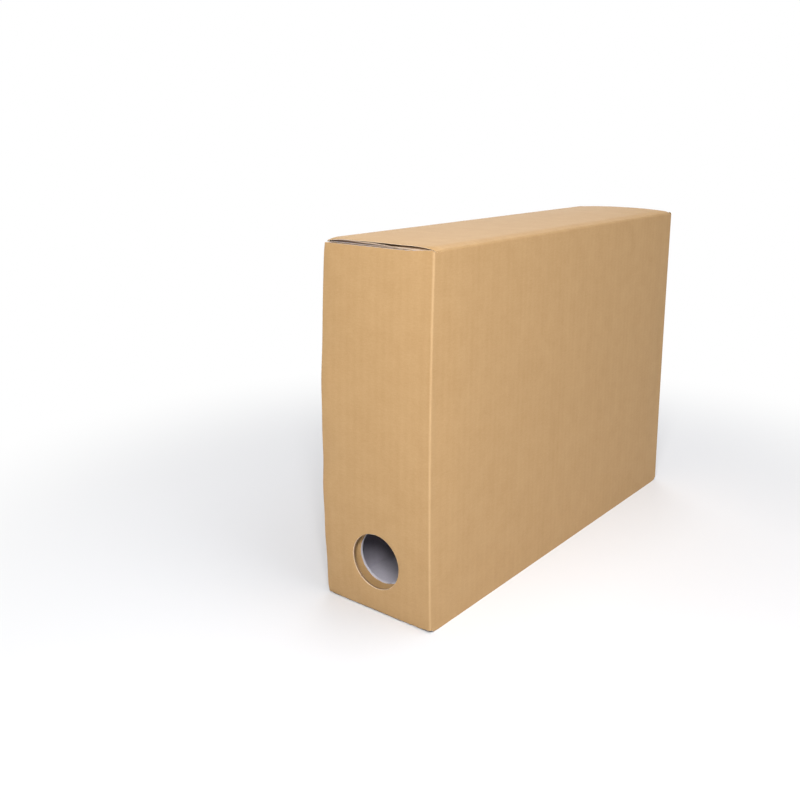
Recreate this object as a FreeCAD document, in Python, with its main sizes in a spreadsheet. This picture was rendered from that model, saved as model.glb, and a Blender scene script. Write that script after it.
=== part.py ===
import FreeCAD, Part

# Upright archive box file, folded from one die-cut sheet of single-wall corrugated board.
#
# The board is three papers: a brown outer liner, a fluted medium and a grey inner liner. Its flutes
# run round the sleeve, so they stand upright in the sides and the end flaps and lie across the top
# and the bottom. Creases divide the sheet into two sides, a top, a bottom, a seam flap glued inside
# the left side, and two flaps at each end. The outer end flaps hang on the left side and open
# outwards. The inner end flaps hang on the right side and swing inwards. All four have a finger hole.
#
# Frame, in millimetres: +Z is up and Z 0 is the surface that the box stands on. +Y runs along the
# length towards the plain rear end, and the printed front end faces -Y. The left side is at -X. The
# origin is the middle of the footprint.

import math
import os
import re

import Sketcher

# Driving sizes. Each one is set by itself. What fits against another piece is worked out from them.
SIZES = {
    # The folded box, over the outside of its outer liner
    "outer_length": 380.0,
    "outer_width": 97.0,
    "outer_height": 270.0,
    # The board. It folds round its own inner face, so a fold's outer radius is the board's thickness
    "board": 3.0,
    "liner": 0.3,
    "medium": 0.25,
    "flute_pitch": 6.4,
    "crest_flat": 1.2,
    # Running clearances of the end flaps
    "flap_edge_gap": 0.5,
    "flap_root_gap": 0.25,
    "flap_layer_gap": 0.3,
    "outer_flap_setback": 1.0,
    "outer_flap_foot_gap": 1.0,
    "inner_flap_end_gap": 1.0,
    "bottom_end_trim": 0.3,
    # The rear inner flap rests swung in by this many degrees. The front one rests closed
    "rear_inner_angle": 8.0,
    "front_inner_angle": 0.0,
    # Finger holes, one above the other through both flaps of an end
    "hole_diameter": 42.0,
    "hole_height": 39.5,
    # The glued seam inside the left side
    "seam_width": 30.0,
    "seam_end_trim": 30.0,
    "seam_taper": 10.0,
    "glue_film": 0.15,
    "glue_margin": 4.0,
}

# Rules shared by several pieces, in the names of the sizes above
SLEEVE_RUN = "(outer_length - 2 * board)"
SLEEVE_START = "(-outer_length / 2 + board)"
RIGHT_RUN = "(outer_length - 4 * board - 2 * flap_layer_gap)"
RIGHT_START = "(-outer_length / 2 + 2 * board + flap_layer_gap)"
CREASE_LOW = "(board + flap_edge_gap)"
CREASE_HIGH = "(outer_height - board - flap_edge_gap)"
OUTER_LOW = "outer_flap_foot_gap"
FLAT_ACROSS = "(outer_width - 2 * board)"
INSIDE_LEFT = "(-outer_width / 2 + board)"
INSIDE_RIGHT = "(outer_width / 2 - board)"
SEAM_FACE = "(-outer_width / 2 + board + glue_film)"
BOTTOM_ACROSS = "(outer_width - 2 * board - glue_film)"
SEAM_RUN = "(outer_length - 2 * board - 2 * seam_end_trim)"
SEAM_START = "(-outer_length / 2 + board + seam_end_trim)"
INNER_PLY = "(board - liner)"

# Turns that stand a flat piece in its place
UPRIGHT = FreeCAD.Vector(0, 0, 1)
NO_TURN = FreeCAD.Rotation()
ALONG_SIDE = FreeCAD.Rotation(UPRIGHT, 90)
ROUND_AXES = FreeCAD.Rotation(FreeCAD.Vector(1, 1, 1), 120)
ACROSS_BOARD = FreeCAD.Rotation(FreeCAD.Vector(1, 0, 0), 90)

doc = FreeCAD.newDocument("box_file")


def make_sheet():
    """Write the driving sizes into the document's sheet, one aliased cell each."""
    sheet = doc.addObject("Spreadsheet::Sheet", "Sizes")
    for row, (alias, number) in enumerate(SIZES.items(), start=1):
        sheet.set(f"A{row}", alias)
        sheet.set(f"B{row}", str(number))
        sheet.setAlias(f"B{row}", alias)
    doc.recompute()
    return sheet


sizes = make_sheet()


def rule(text):
    """Turn a rule in bare size names into an expression that reads the sheet."""
    return re.sub(r"[a-z_]+", lambda word: "Sizes." + word.group(), text)


def value(text):
    """Work out a rule from the sheet's numbers."""
    return float(sizes.evalExpression(rule(text)))


def bind(owner, place, text):
    """Bind one property of an object to a rule."""
    owner.setExpression(place, rule(text))


def point(across, along, up):
    """Make a point from three rules."""
    return FreeCAD.Vector(value(across), value(along), value(up))


def bind_position(owner, across, along, up):
    """Bind an object's place to three rules."""
    bind(owner, "Placement.Base.x", across)
    bind(owner, "Placement.Base.y", along)
    bind(owner, "Placement.Base.z", up)


def stand(piece, turn, across, along, up):
    """Turn a piece the way it stands, and bind its place to three rules."""
    piece.Placement = FreeCAD.Placement(point(across, along, up), turn)
    bind_position(piece, across, along, up)


def new_body(label, across="0", along="0", up="0"):
    """Start a solid piece whose own frame stands at the given place."""
    body = doc.addObject("PartDesign::Body", label)
    body.Label = label
    bind_position(body, across, along, up)
    return body


def new_sketch(body, plane, lift="0"):
    """Put a sketch on one of a body's origin planes, lifted along that plane's normal."""
    sketch = body.newObject("Sketcher::SketchObject", body.Name + "_outline")
    support = [feature for feature in body.Origin.OriginFeatures if feature.Role == plane]
    sketch.AttachmentSupport = [(support[0], "")]
    sketch.MapMode = "FlatFace"
    bind(sketch, "AttachmentOffset.Base.z", lift)
    return sketch


def add_pad(body, sketch, length, backwards=False):
    """Thicken a sketch into the body."""
    pad = body.newObject("PartDesign::Pad", body.Name + "_pad")
    pad.Profile = sketch
    pad.Reversed = backwards
    bind(pad, "Length", length)
    sketch.Visibility = False
    return pad


def hold(sketch, kind, geometry, vertex, text):
    """Keep one point at a distance from the sketch's origin, or on an axis where the rule is none."""
    if text is None:
        axis = -2 if kind == "DistanceX" else -1
        sketch.addConstraint(Sketcher.Constraint("PointOnObject", geometry, vertex, axis))
        return
    number = sketch.addConstraint(
        Sketcher.Constraint(kind, -1, 1, geometry, vertex, value(text))
    )
    sketch.setExpression(f"Constraints[{number}]", rule(text))


def draw_outline(sketch, corners):
    """Draw a closed outline of level and upright lines through corners given as pairs of rules.

    The first line is level. A rule that is none puts its corner on the sketch's axis.
    """
    vectors = [
        FreeCAD.Vector(0.0 if x is None else value(x), 0.0 if y is None else value(y), 0)
        for x, y in corners
    ]
    count = len(corners)
    lines = [
        sketch.addGeometry(Part.LineSegment(vectors[side], vectors[(side + 1) % count]))
        for side in range(count)
    ]
    for side, (x, y) in enumerate(corners):
        following = lines[(side + 1) % count]
        level = side % 2 == 0
        sketch.addConstraint(Sketcher.Constraint("Coincident", lines[side], 2, following, 1))
        sketch.addConstraint(
            Sketcher.Constraint("Horizontal" if level else "Vertical", lines[side])
        )
        hold(sketch, "DistanceY" if level else "DistanceX", lines[side], 1, y if level else x)


def draw_rectangle(sketch, left, low, right, high):
    """Draw a rectangle. A side whose rule is none lies on the sketch's axis."""
    draw_outline(sketch, [(left, low), (right, low), (right, high), (left, high)])


def draw_hole(sketch, across, up):
    """Draw the finger hole's circle."""
    centre = FreeCAD.Vector(value(across), value(up), 0)
    radius = "hole_diameter / 2"
    circle = sketch.addGeometry(Part.Circle(centre, FreeCAD.Vector(0, 0, 1), value(radius)))
    hold(sketch, "DistanceX", circle, 3, across)
    hold(sketch, "DistanceY", circle, 3, up)
    number = sketch.addConstraint(Sketcher.Constraint("Radius", circle, value(radius)))
    sketch.setExpression(f"Constraints[{number}]", rule(radius))


def draw_fold(sketch, across, up, quarter):
    """Draw the outer liner's section round a fold: a quarter ring, counted from the first quarter."""
    middle = FreeCAD.Vector(
        0.0 if across is None else value(across), 0.0 if up is None else value(up), 0
    )
    start, end = quarter * math.pi / 2, (quarter + 1) * math.pi / 2
    radii = {"outside": "board", "inside": "board - liner"}
    arcs = {}
    for face, radius in radii.items():
        circle = Part.Circle(middle, FreeCAD.Vector(0, 0, 1), value(radius))
        arcs[face] = sketch.addGeometry(Part.ArcOfCircle(circle, start, end))
    outside, inside = arcs["outside"], arcs["inside"]
    sketch.addConstraint(Sketcher.Constraint("Coincident", outside, 3, inside, 3))
    for vertex, angle, level in ((1, start, quarter % 2 == 0), (2, end, quarter % 2 == 1)):
        ray = FreeCAD.Vector(math.cos(angle), math.sin(angle), 0)
        line = sketch.addGeometry(
            Part.LineSegment(
                middle + ray * value(radii["inside"]), middle + ray * value(radii["outside"])
            )
        )
        direction = "Horizontal" if level else "Vertical"
        sketch.addConstraint(Sketcher.Constraint("Coincident", inside, vertex, line, 1))
        sketch.addConstraint(Sketcher.Constraint("Coincident", outside, vertex, line, 2))
        sketch.addConstraint(Sketcher.Constraint(direction, line))
        sketch.addConstraint(Sketcher.Constraint(direction, outside, 3, outside, vertex))
    hold(sketch, "DistanceX", outside, 3, across)
    hold(sketch, "DistanceY", outside, 3, up)
    for face, radius in radii.items():
        number = sketch.addConstraint(Sketcher.Constraint("Radius", arcs[face], value(radius)))
        sketch.setExpression(f"Constraints[{number}]", rule(radius))


def flat_ply(body, plane, right, high, lift="0"):
    """Lay one liner on a plane, from the body's origin to the given far corner."""
    sketch = new_sketch(body, plane, lift)
    draw_rectangle(sketch, None, None, right, high)
    add_pad(body, sketch, "liner")


def fluted_paper(run, depth):
    """Make a fluted paper: waves along X, flattened crests along Z, filling the space between the liners."""
    space = value("board - 2 * liner")
    paper = value("medium")
    flat = value("crest_flat")
    count = max(1, round(run / value("flute_pitch")))
    step = run / count
    leg = step / 2 - flat
    # Where the paper bends, its two faces turn a little before and after the middle line
    shift = paper / 2 * math.tan(math.atan2(space - paper, leg) / 2)
    below, above = [(0.0, 0.0)], [(0.0, paper)]
    for flute in range(count):
        foot = flute * step + flat / 2
        crest = foot + leg
        fall = crest + flat
        landing = fall + leg
        below += [(foot + shift, 0.0), (crest + shift, space - paper)]
        below += [(fall - shift, space - paper), (landing - shift, 0.0)]
        above += [(foot - shift, paper), (crest - shift, space)]
        above += [(fall + shift, space), (landing + shift, paper)]
    below.append((run, 0.0))
    above.append((run, paper))
    outline = below + above[::-1] + [below[0]]
    wire = Part.makePolygon([FreeCAD.Vector(x, y, 0) for x, y in outline])
    return Part.Face(wire).extrude(FreeCAD.Vector(0, 0, depth))


def fluting(label, run, depth, place, turn):
    """Add the fluted paper of one panel, and return it."""
    paper = doc.addObject("Part::Feature", label)
    paper.Label = label
    paper.Shape = fluted_paper(value(run), value(depth))
    paper.Placement = FreeCAD.Placement(point(*place), turn)
    return paper


def left_side():
    """The left side, as high as the outside of the box. It carries both outer end flaps."""
    high = "outer_height - board"
    outer = new_body("left_side_outer_liner", "-outer_width / 2", SLEEVE_START)
    flat_ply(outer, "YZ_Plane", SLEEVE_RUN, high)
    crease = new_sketch(outer, "XY_Plane", OUTER_LOW)
    draw_fold(crease, "board", None, 2)
    draw_fold(crease, "board", SLEEVE_RUN, 1)
    add_pad(outer, crease, f"{CREASE_HIGH} - {OUTER_LOW}")
    middle = fluting(
        "left_side_fluting",
        SLEEVE_RUN,
        high,
        ("-outer_width / 2 + board - liner", SLEEVE_START, "0"),
        ALONG_SIDE,
    )
    inner = new_body("left_side_inner_liner", f"{INSIDE_LEFT} - liner", SLEEVE_START)
    flat_ply(inner, "YZ_Plane", SLEEVE_RUN, "outer_height - board + liner")
    return [outer, middle, inner]


def right_side():
    """The right side, set in at both ends behind the outer flaps. It carries both inner end flaps."""
    upright = "outer_height - 2 * board"
    outer = new_body("right_side_outer_liner", INSIDE_RIGHT, RIGHT_START, "board")
    sketch = new_sketch(outer, "YZ_Plane", INNER_PLY)
    draw_rectangle(sketch, None, None, RIGHT_RUN, upright)
    add_pad(outer, sketch, "liner")
    crease = new_sketch(outer, "XY_Plane", "flap_edge_gap")
    draw_fold(crease, None, None, 3)
    draw_fold(crease, None, RIGHT_RUN, 0)
    add_pad(outer, crease, f"{CREASE_HIGH} - {CREASE_LOW}")
    middle = fluting(
        "right_side_fluting",
        RIGHT_RUN,
        upright,
        ("outer_width / 2 - liner", RIGHT_START, "board"),
        ALONG_SIDE,
    )
    inner = new_body("right_side_inner_liner", INSIDE_RIGHT, RIGHT_START, INNER_PLY)
    flat_ply(inner, "YZ_Plane", RIGHT_RUN, f"{upright} + 2 * liner")
    return [outer, middle, inner]


def top():
    """The top panel, with the folds down to both sides."""
    outer = new_body("top_outer_liner", INSIDE_LEFT, SLEEVE_START, "outer_height - board")
    flat_ply(outer, "XY_Plane", FLAT_ACROSS, SLEEVE_RUN, INNER_PLY)
    folds = new_sketch(outer, "XZ_Plane")
    draw_fold(folds, None, None, 1)
    draw_fold(folds, FLAT_ACROSS, None, 0)
    add_pad(outer, folds, SLEEVE_RUN, backwards=True)
    middle = fluting(
        "top_fluting",
        SLEEVE_RUN,
        FLAT_ACROSS,
        (INSIDE_LEFT, SLEEVE_START, "outer_height - board + liner"),
        ROUND_AXES,
    )
    inner = new_body("top_inner_liner", INSIDE_LEFT, SLEEVE_START, "outer_height - board")
    flat_ply(inner, "XY_Plane", FLAT_ACROSS, SLEEVE_RUN)
    return [outer, middle, inner]


def bottom():
    """The bottom panel, with the fold up to the right side and the shorter one to the seam flap.

    In front of the seam flap and behind it, the board runs on to a raw edge at the left side. It is
    trimmed at both ends, because the outer flaps reach down in front of it.
    """
    seam_end = f"{SLEEVE_RUN} - seam_end_trim"
    rear_end = f"{SLEEVE_RUN} - bottom_end_trim"
    run = f"({SLEEVE_RUN} - 2 * bottom_end_trim)"
    outline = [
        (None, "bottom_end_trim"),
        (BOTTOM_ACROSS, "bottom_end_trim"),
        (BOTTOM_ACROSS, rear_end),
        (None, rear_end),
        (None, seam_end),
        ("board", seam_end),
        ("board", "seam_end_trim"),
        (None, "seam_end_trim"),
    ]
    liners = []
    for label, up in (("bottom_outer_liner", "0"), ("bottom_inner_liner", INNER_PLY)):
        body = new_body(label, SEAM_FACE, SLEEVE_START, up)
        sketch = new_sketch(body, "XY_Plane")
        draw_outline(sketch, outline)
        add_pad(body, sketch, "liner")
        liners.append(body)
    outer, inner = liners
    long_fold = new_sketch(outer, "XZ_Plane", "-bottom_end_trim")
    draw_fold(long_fold, BOTTOM_ACROSS, "board", 3)
    add_pad(outer, long_fold, run, backwards=True)
    seam_fold = new_sketch(outer, "XZ_Plane", "-seam_end_trim")
    draw_fold(seam_fold, "board", "board", 2)
    add_pad(outer, seam_fold, SEAM_RUN, backwards=True)
    start = f"{SLEEVE_START} + bottom_end_trim"
    waves = fluting(
        "bottom_waves", run, BOTTOM_ACROSS, (SEAM_FACE, start, "liner"), ROUND_AXES
    )
    notch = doc.addObject("Part::Box", "bottom_notch")
    bind(notch, "Length", "board")
    bind(notch, "Width", SEAM_RUN)
    bind(notch, "Height", "board")
    bind_position(notch, SEAM_FACE, SEAM_START, "0")
    middle = doc.addObject("Part::Cut", "bottom_fluting")
    middle.Base = waves
    middle.Tool = notch
    return [outer, middle, inner]


def tapered_sheet(label, thickness, foot="0"):
    """Make a sheet of the seam flap's outline: upright, narrower at its top edge, lowered by foot."""
    sheet = doc.addObject("Part::Wedge", label)
    sheet.Label = label
    outline = {
        "Xmin": "0",
        "Xmax": SEAM_RUN,
        "X2min": "seam_taper",
        "X2max": f"{SEAM_RUN} - seam_taper",
        "Ymin": "0",
        "Ymax": f"seam_width + {foot}",
        "Zmin": "0",
        "Z2min": "0",
        "Zmax": thickness,
        "Z2max": thickness,
    }
    for side, text in outline.items():
        bind(sheet, side, text)
    return sheet


def seam_flap():
    """The seam flap, glued upright inside the left side, and the film of glue behind it."""
    outer = tapered_sheet("seam_flap_outer_liner", "liner")
    stand(outer, ROUND_AXES, SEAM_FACE, SEAM_START, "board")
    waves = fluting(
        "seam_flap_waves",
        SEAM_RUN,
        "seam_width",
        (f"{SEAM_FACE} + board - liner", SEAM_START, "board"),
        ALONG_SIDE,
    )
    trim = tapered_sheet("seam_flap_trim", "board")
    stand(trim, ROUND_AXES, SEAM_FACE, SEAM_START, "board")
    middle = doc.addObject("Part::Common", "seam_flap_fluting")
    middle.Base = waves
    middle.Tool = trim
    inner = tapered_sheet("seam_flap_inner_liner", "liner", foot="liner")
    stand(inner, ROUND_AXES, f"{SEAM_FACE} + board - liner", SEAM_START, INNER_PLY)
    glue = doc.addObject("Part::Box", "seam_glue")
    bind(glue, "Length", "glue_film")
    bind(glue, "Width", f"{SEAM_RUN} - 2 * seam_taper - 2 * glue_margin")
    bind(glue, "Height", "seam_width - 2 * glue_margin")
    bind_position(
        glue, INSIDE_LEFT, f"{SEAM_START} + seam_taper + glue_margin", "board + glue_margin"
    )
    return [outer, middle, inner, glue]


def turn_about_hinge(piece, angle):
    """Turn a piece about the upright line through its own origin by a rule in degrees."""
    piece.Placement = FreeCAD.Placement(piece.Placement.Base, FreeCAD.Rotation(UPRIGHT, 180))
    piece.setExpression("Placement.Rotation.Angle", f"({rule(angle)}) * 1 deg")


def flap(label, near_ply, far_ply, place, reach, low, hole, towards_front, turn=None):
    """Build an end flap from its two liners and its fluting, in its own frame.

    The flap reaches along its frame's X between the two rules in reach, and up from low. Its three
    papers are stacked from the frame's XZ plane towards the front of the box or towards its rear.
    """
    left, right = reach
    pieces = []
    for ply, lift in ((near_ply, "0"), (far_ply, INNER_PLY)):
        body = new_body(f"{label}_{ply}", *place)
        sketch = new_sketch(body, "XZ_Plane", lift if towards_front else f"-{lift}")
        draw_rectangle(sketch, left, low, right, CREASE_HIGH)
        draw_hole(sketch, hole, "hole_height")
        add_pad(body, sketch, "liner", backwards=not towards_front)
        pieces.append(body)
    first_face = "liner - board" if towards_front else "liner"
    waves = fluting(
        f"{label}_waves",
        f"({right}) - ({left})",
        f"{CREASE_HIGH} - {low}",
        (left, first_face, low),
        NO_TURN,
    )
    punch = doc.addObject("Part::Cylinder", f"{label}_punch")
    stand(punch, ACROSS_BOARD, hole, "2 * board", "hole_height")
    bind(punch, "Radius", "hole_diameter / 2")
    bind(punch, "Height", "4 * board")
    middle = doc.addObject("Part::Cut", f"{label}_fluting")
    middle.Base = waves
    middle.Tool = punch
    bind_position(middle, *place)
    pieces.insert(1, middle)
    if turn is not None:
        for piece in pieces:
            turn_about_hinge(piece, turn)
    return pieces


def outer_flap(end, rear):
    """An outer end flap, lying over the inner one. Its frame stands at the left side's outer corner."""
    along = "outer_length / 2" if rear else "-outer_length / 2"
    reach = ("board + flap_root_gap", "outer_width - outer_flap_setback")
    place = ("-outer_width / 2", along, "0")
    return flap(
        f"{end}_outer_flap",
        "outer_liner",
        "inner_liner",
        place,
        reach,
        OUTER_LOW,
        "outer_width / 2",
        towards_front=rear,
    )


def inner_flap(end, rear):
    """An inner end flap, behind the outer one. Its frame stands on its hinge line, inside the right side."""
    depth = "outer_length / 2 - 2 * board - flap_layer_gap"
    along = depth if rear else f"-({depth})"
    reach = ("flap_root_gap", "outer_width - 2 * board - inner_flap_end_gap")
    place = (INSIDE_RIGHT, along, "0")
    swing = "rear_inner_angle" if rear else "-front_inner_angle"
    return flap(
        f"{end}_inner_flap",
        "inner_liner",
        "outer_liner",
        place,
        reach,
        CREASE_LOW,
        INSIDE_RIGHT,
        towards_front=rear,
        turn=f"180 + ({swing})",
    )


def check(pieces):
    """Stop if anything in the document failed, or a piece is not one sound solid."""
    for item in doc.Objects:
        if "Invalid" in item.State or "Error" in item.State:
            raise RuntimeError(f"{item.Label} did not rebuild: {item.State}")
    for piece in pieces:
        shape = piece.Shape
        if shape.isNull() or not shape.isValid() or len(shape.Solids) != 1:
            raise RuntimeError(f"{piece.Label} is not one sound solid")


def main():
    """Build every piece, check it and write it to its own file."""
    pieces = left_side() + right_side() + top() + bottom() + seam_flap()
    for end, rear in (("front", False), ("rear", True)):
        pieces += outer_flap(end, rear) + inner_flap(end, rear)
    doc.recompute()
    check(pieces)
    os.makedirs("parts", exist_ok=True)
    for piece in pieces:
        piece.Shape.exportStep(f"parts/{piece.Label}.step")
        print(f"{piece.Label}: {piece.Shape.Volume:.1f} cubic mm")


main()
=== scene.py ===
"""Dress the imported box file: its corrugated board, folds, print and studio.

Everything is in metres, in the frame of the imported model: +Z up, +Y towards the plain rear end, and
the side that carries the outer flaps at -X.
"""

import logging
import math
from collections.abc import Callable, Sequence
from dataclasses import dataclass, field
from enum import Enum

import bpy
import numpy as np
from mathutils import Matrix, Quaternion, Vector
from mathutils.geometry import delaunay_2d_cdt


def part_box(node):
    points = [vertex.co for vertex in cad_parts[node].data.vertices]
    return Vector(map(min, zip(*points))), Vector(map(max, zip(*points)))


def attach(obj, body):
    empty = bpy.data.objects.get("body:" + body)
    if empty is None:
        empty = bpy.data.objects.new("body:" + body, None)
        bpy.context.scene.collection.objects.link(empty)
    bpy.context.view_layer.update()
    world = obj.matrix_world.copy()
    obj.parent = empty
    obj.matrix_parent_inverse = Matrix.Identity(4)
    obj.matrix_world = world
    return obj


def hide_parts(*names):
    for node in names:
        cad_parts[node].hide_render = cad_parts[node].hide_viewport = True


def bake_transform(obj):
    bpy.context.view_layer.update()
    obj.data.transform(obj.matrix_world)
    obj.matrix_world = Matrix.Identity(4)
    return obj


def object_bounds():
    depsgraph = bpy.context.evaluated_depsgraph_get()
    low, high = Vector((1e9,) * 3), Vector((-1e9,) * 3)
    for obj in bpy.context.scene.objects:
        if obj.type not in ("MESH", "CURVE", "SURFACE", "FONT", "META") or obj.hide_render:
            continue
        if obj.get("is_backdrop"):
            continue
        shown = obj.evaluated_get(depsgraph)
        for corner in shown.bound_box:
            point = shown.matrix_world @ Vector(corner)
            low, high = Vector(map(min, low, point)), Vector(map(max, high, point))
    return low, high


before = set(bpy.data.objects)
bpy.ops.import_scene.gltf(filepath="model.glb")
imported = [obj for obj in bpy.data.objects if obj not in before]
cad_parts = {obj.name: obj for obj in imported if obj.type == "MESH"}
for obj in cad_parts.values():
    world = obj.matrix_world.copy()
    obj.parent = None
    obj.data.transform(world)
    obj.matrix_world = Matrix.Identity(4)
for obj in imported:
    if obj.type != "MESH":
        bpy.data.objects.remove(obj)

log = logging.getLogger("box_file")

MM = 0.001
TURN = 2 * math.pi
QUARTER = TURN / 4
SHEET = "sheet"
CREASE = "crease"
SLEEVE = "sleeve"
WHITE = "FFFFFF"
REAR_AJAR = 8.0  # degrees that the rear inner flap stands open

Points = np.ndarray
Field = Callable[[Points], Points]
Socket = bpy.types.NodeSocket


class Coordinates(Enum):
    """Where a paper's pattern lies: on the flat blank, kept in an attribute, or in the object."""

    SHEET = "sheet"
    OBJECT = "object"


class Ply(Enum):
    """The three papers of the board."""

    OUTER = "outer_liner"
    MEDIUM = "fluting"
    INNER = "inner_liner"


class Cut(Enum):
    """What is cut out of a panel's fluting."""

    NONE = "none"
    FINGER_HOLE = "finger_hole"
    SEAM_NOTCH = "seam_notch"


class Layer(Enum):
    """The material slots of a paper: its flat faces and its cut edges."""

    FACE = 0
    EDGE = 1


def linear(colour: str) -> tuple[float, float, float, float]:
    """Turn an sRGB hex colour into linear red, green, blue and alpha.

    Args:
        colour: six hex digits, such as "C8A070".

    Returns:
        The linear colour with an alpha of 1.
    """
    parts = [int(colour[place : place + 2], 16) / 255 for place in (0, 2, 4)]
    red, green, blue = (
        part / 12.92 if part <= 0.04045 else ((part + 0.055) / 1.055) ** 2.4 for part in parts
    )
    return red, green, blue, 1.0


@dataclass(frozen=True)
class Nodes:
    """A node tree, and the steps that the trees here are built from."""

    tree: bpy.types.NodeTree

    @classmethod
    def emptied(cls, owner: bpy.types.Material | bpy.types.World) -> "Nodes":
        """Empty the node tree of a material or of the world.

        Args:
            owner: the material or the world.

        Returns:
            Its nodes.
        """
        owner.use_nodes = True
        owner.node_tree.nodes.clear()
        return cls(owner.node_tree)

    def add(
        self, kind: str, inputs: dict[str | int, object] | None = None, **settings: object
    ) -> bpy.types.Node:
        """Add a node with its settings, values and links.

        Args:
            kind: the node's type name.
            inputs: a value or an output socket for each named or numbered input.
            settings: the node's own properties.

        Returns:
            The new node.
        """
        node = self.tree.nodes.new(kind)
        for name, setting in settings.items():
            setattr(node, name, setting)
        for place, given in (inputs or {}).items():
            if isinstance(given, Socket):
                self.tree.links.new(given, node.inputs[place])
            else:
                node.inputs[place].default_value = given
        return node

    def maths(self, operation: str, *values: object) -> Socket:
        """Work out one step on numbers or sockets."""
        return self.add("ShaderNodeMath", dict(enumerate(values)), operation=operation).outputs[0]

    def mix(self, share: object, first: object, second: object) -> Socket:
        """Mix two colours by a share of the second."""
        values = {0: share, 6: first, 7: second}
        return self.add("ShaderNodeMix", values, data_type="RGBA").outputs[2]

    def ramp(
        self,
        value: Socket,
        source: tuple[float, float],
        result: tuple[float, float],
        **settings: str,
    ) -> Socket:
        """Turn one range of a value into another, held at its ends.

        Args:
            value: the value.
            source: the two ends of the range that comes in.
            result: what they become.
            settings: the node's own properties.

        Returns:
            The socket of the result.
        """
        values = {"Value": value, 1: source[0], 2: source[1], 3: result[0], 4: result[1]}
        return self.add("ShaderNodeMapRange", values, **settings).outputs["Result"]

    def noise(self, place: Socket, size: float, detail: float, roughness: float = 0.55) -> Socket:
        """Make clouds of a real size, from 0 to 1."""
        values = {"Vector": place, "Scale": 1 / size, "Detail": detail, "Roughness": roughness}
        return self.add("ShaderNodeTexNoise", values).outputs["Fac"]

    def surface(self, relief: dict[str, object], values: dict[str, object]) -> None:
        """Make the material's surface from its relief and from the other values of its shader.

        Args:
            relief: the values of its bump.
            values: those of its shader.
        """
        normal = self.add("ShaderNodeBump", relief).outputs["Normal"]
        shader = self.add("ShaderNodeBsdfPrincipled", values | {"Normal": normal})
        self.add("ShaderNodeOutputMaterial", {"Surface": shader.outputs["BSDF"]})

    def drawn(self, place: Socket, long: float, wide: float, axis: int = 0) -> Socket:
        """Scale coordinates so that clouds of size 1 get this length on one axis and this width.

        Args:
            place: the coordinates.
            long: the length in metres.
            wide: the width.
            axis: the axis that the length runs along.

        Returns:
            The scaled coordinates.
        """
        scale = [1 / wide] * 3
        scale[axis] = 1 / long
        return self.add("ShaderNodeMapping", {"Vector": place, "Scale": scale}).outputs["Vector"]


def smooth(share: Points) -> Points:
    """Ease a share from 0 to 1, and hold it outside that range."""
    held = np.clip(share, 0.0, 1.0)
    return held * held * (3 - 2 * held)


def closeness(gap: Points, reach: float) -> Points:
    """Give 1 where a gap is nothing, falling off to 0 over about twice its reach."""
    return np.exp(-((gap / reach) ** 2))


@dataclass(frozen=True)
class BoxSizes:
    """The folded box's sizes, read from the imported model."""

    half_width: float
    half_length: float
    height: float
    board: float
    liner: float
    side_end: float
    right_end: float
    seam_end: float
    seam_face: float
    hole_radius: float = 21 * MM
    hole_height: float = 39.5 * MM
    medium: float = 0.25 * MM
    pitch: float = 6.4 * MM

    @classmethod
    def measured(cls) -> "BoxSizes":
        """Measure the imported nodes.

        Returns:
            The sizes in metres.
        """
        low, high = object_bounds()
        skin_low, skin_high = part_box("top_inner_liner")
        seam_low, seam_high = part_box("seam_flap_outer_liner")
        return cls(
            half_width=-low.x,
            half_length=high.y,
            height=high.z,
            board=high.z - skin_low.z,
            liner=skin_high.z - skin_low.z,
            side_end=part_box("left_side_fluting")[1].y,
            right_end=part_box("right_side_fluting")[1].y,
            seam_end=seam_high.y,
            seam_face=seam_low.x,
        )

    @property
    def fold(self) -> float:
        """The length of the outer liner round a fold."""
        return QUARTER * self.board

    @property
    def inside(self) -> float:
        """The inner face of both sides, from the middle."""
        return self.half_width - self.board


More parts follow.
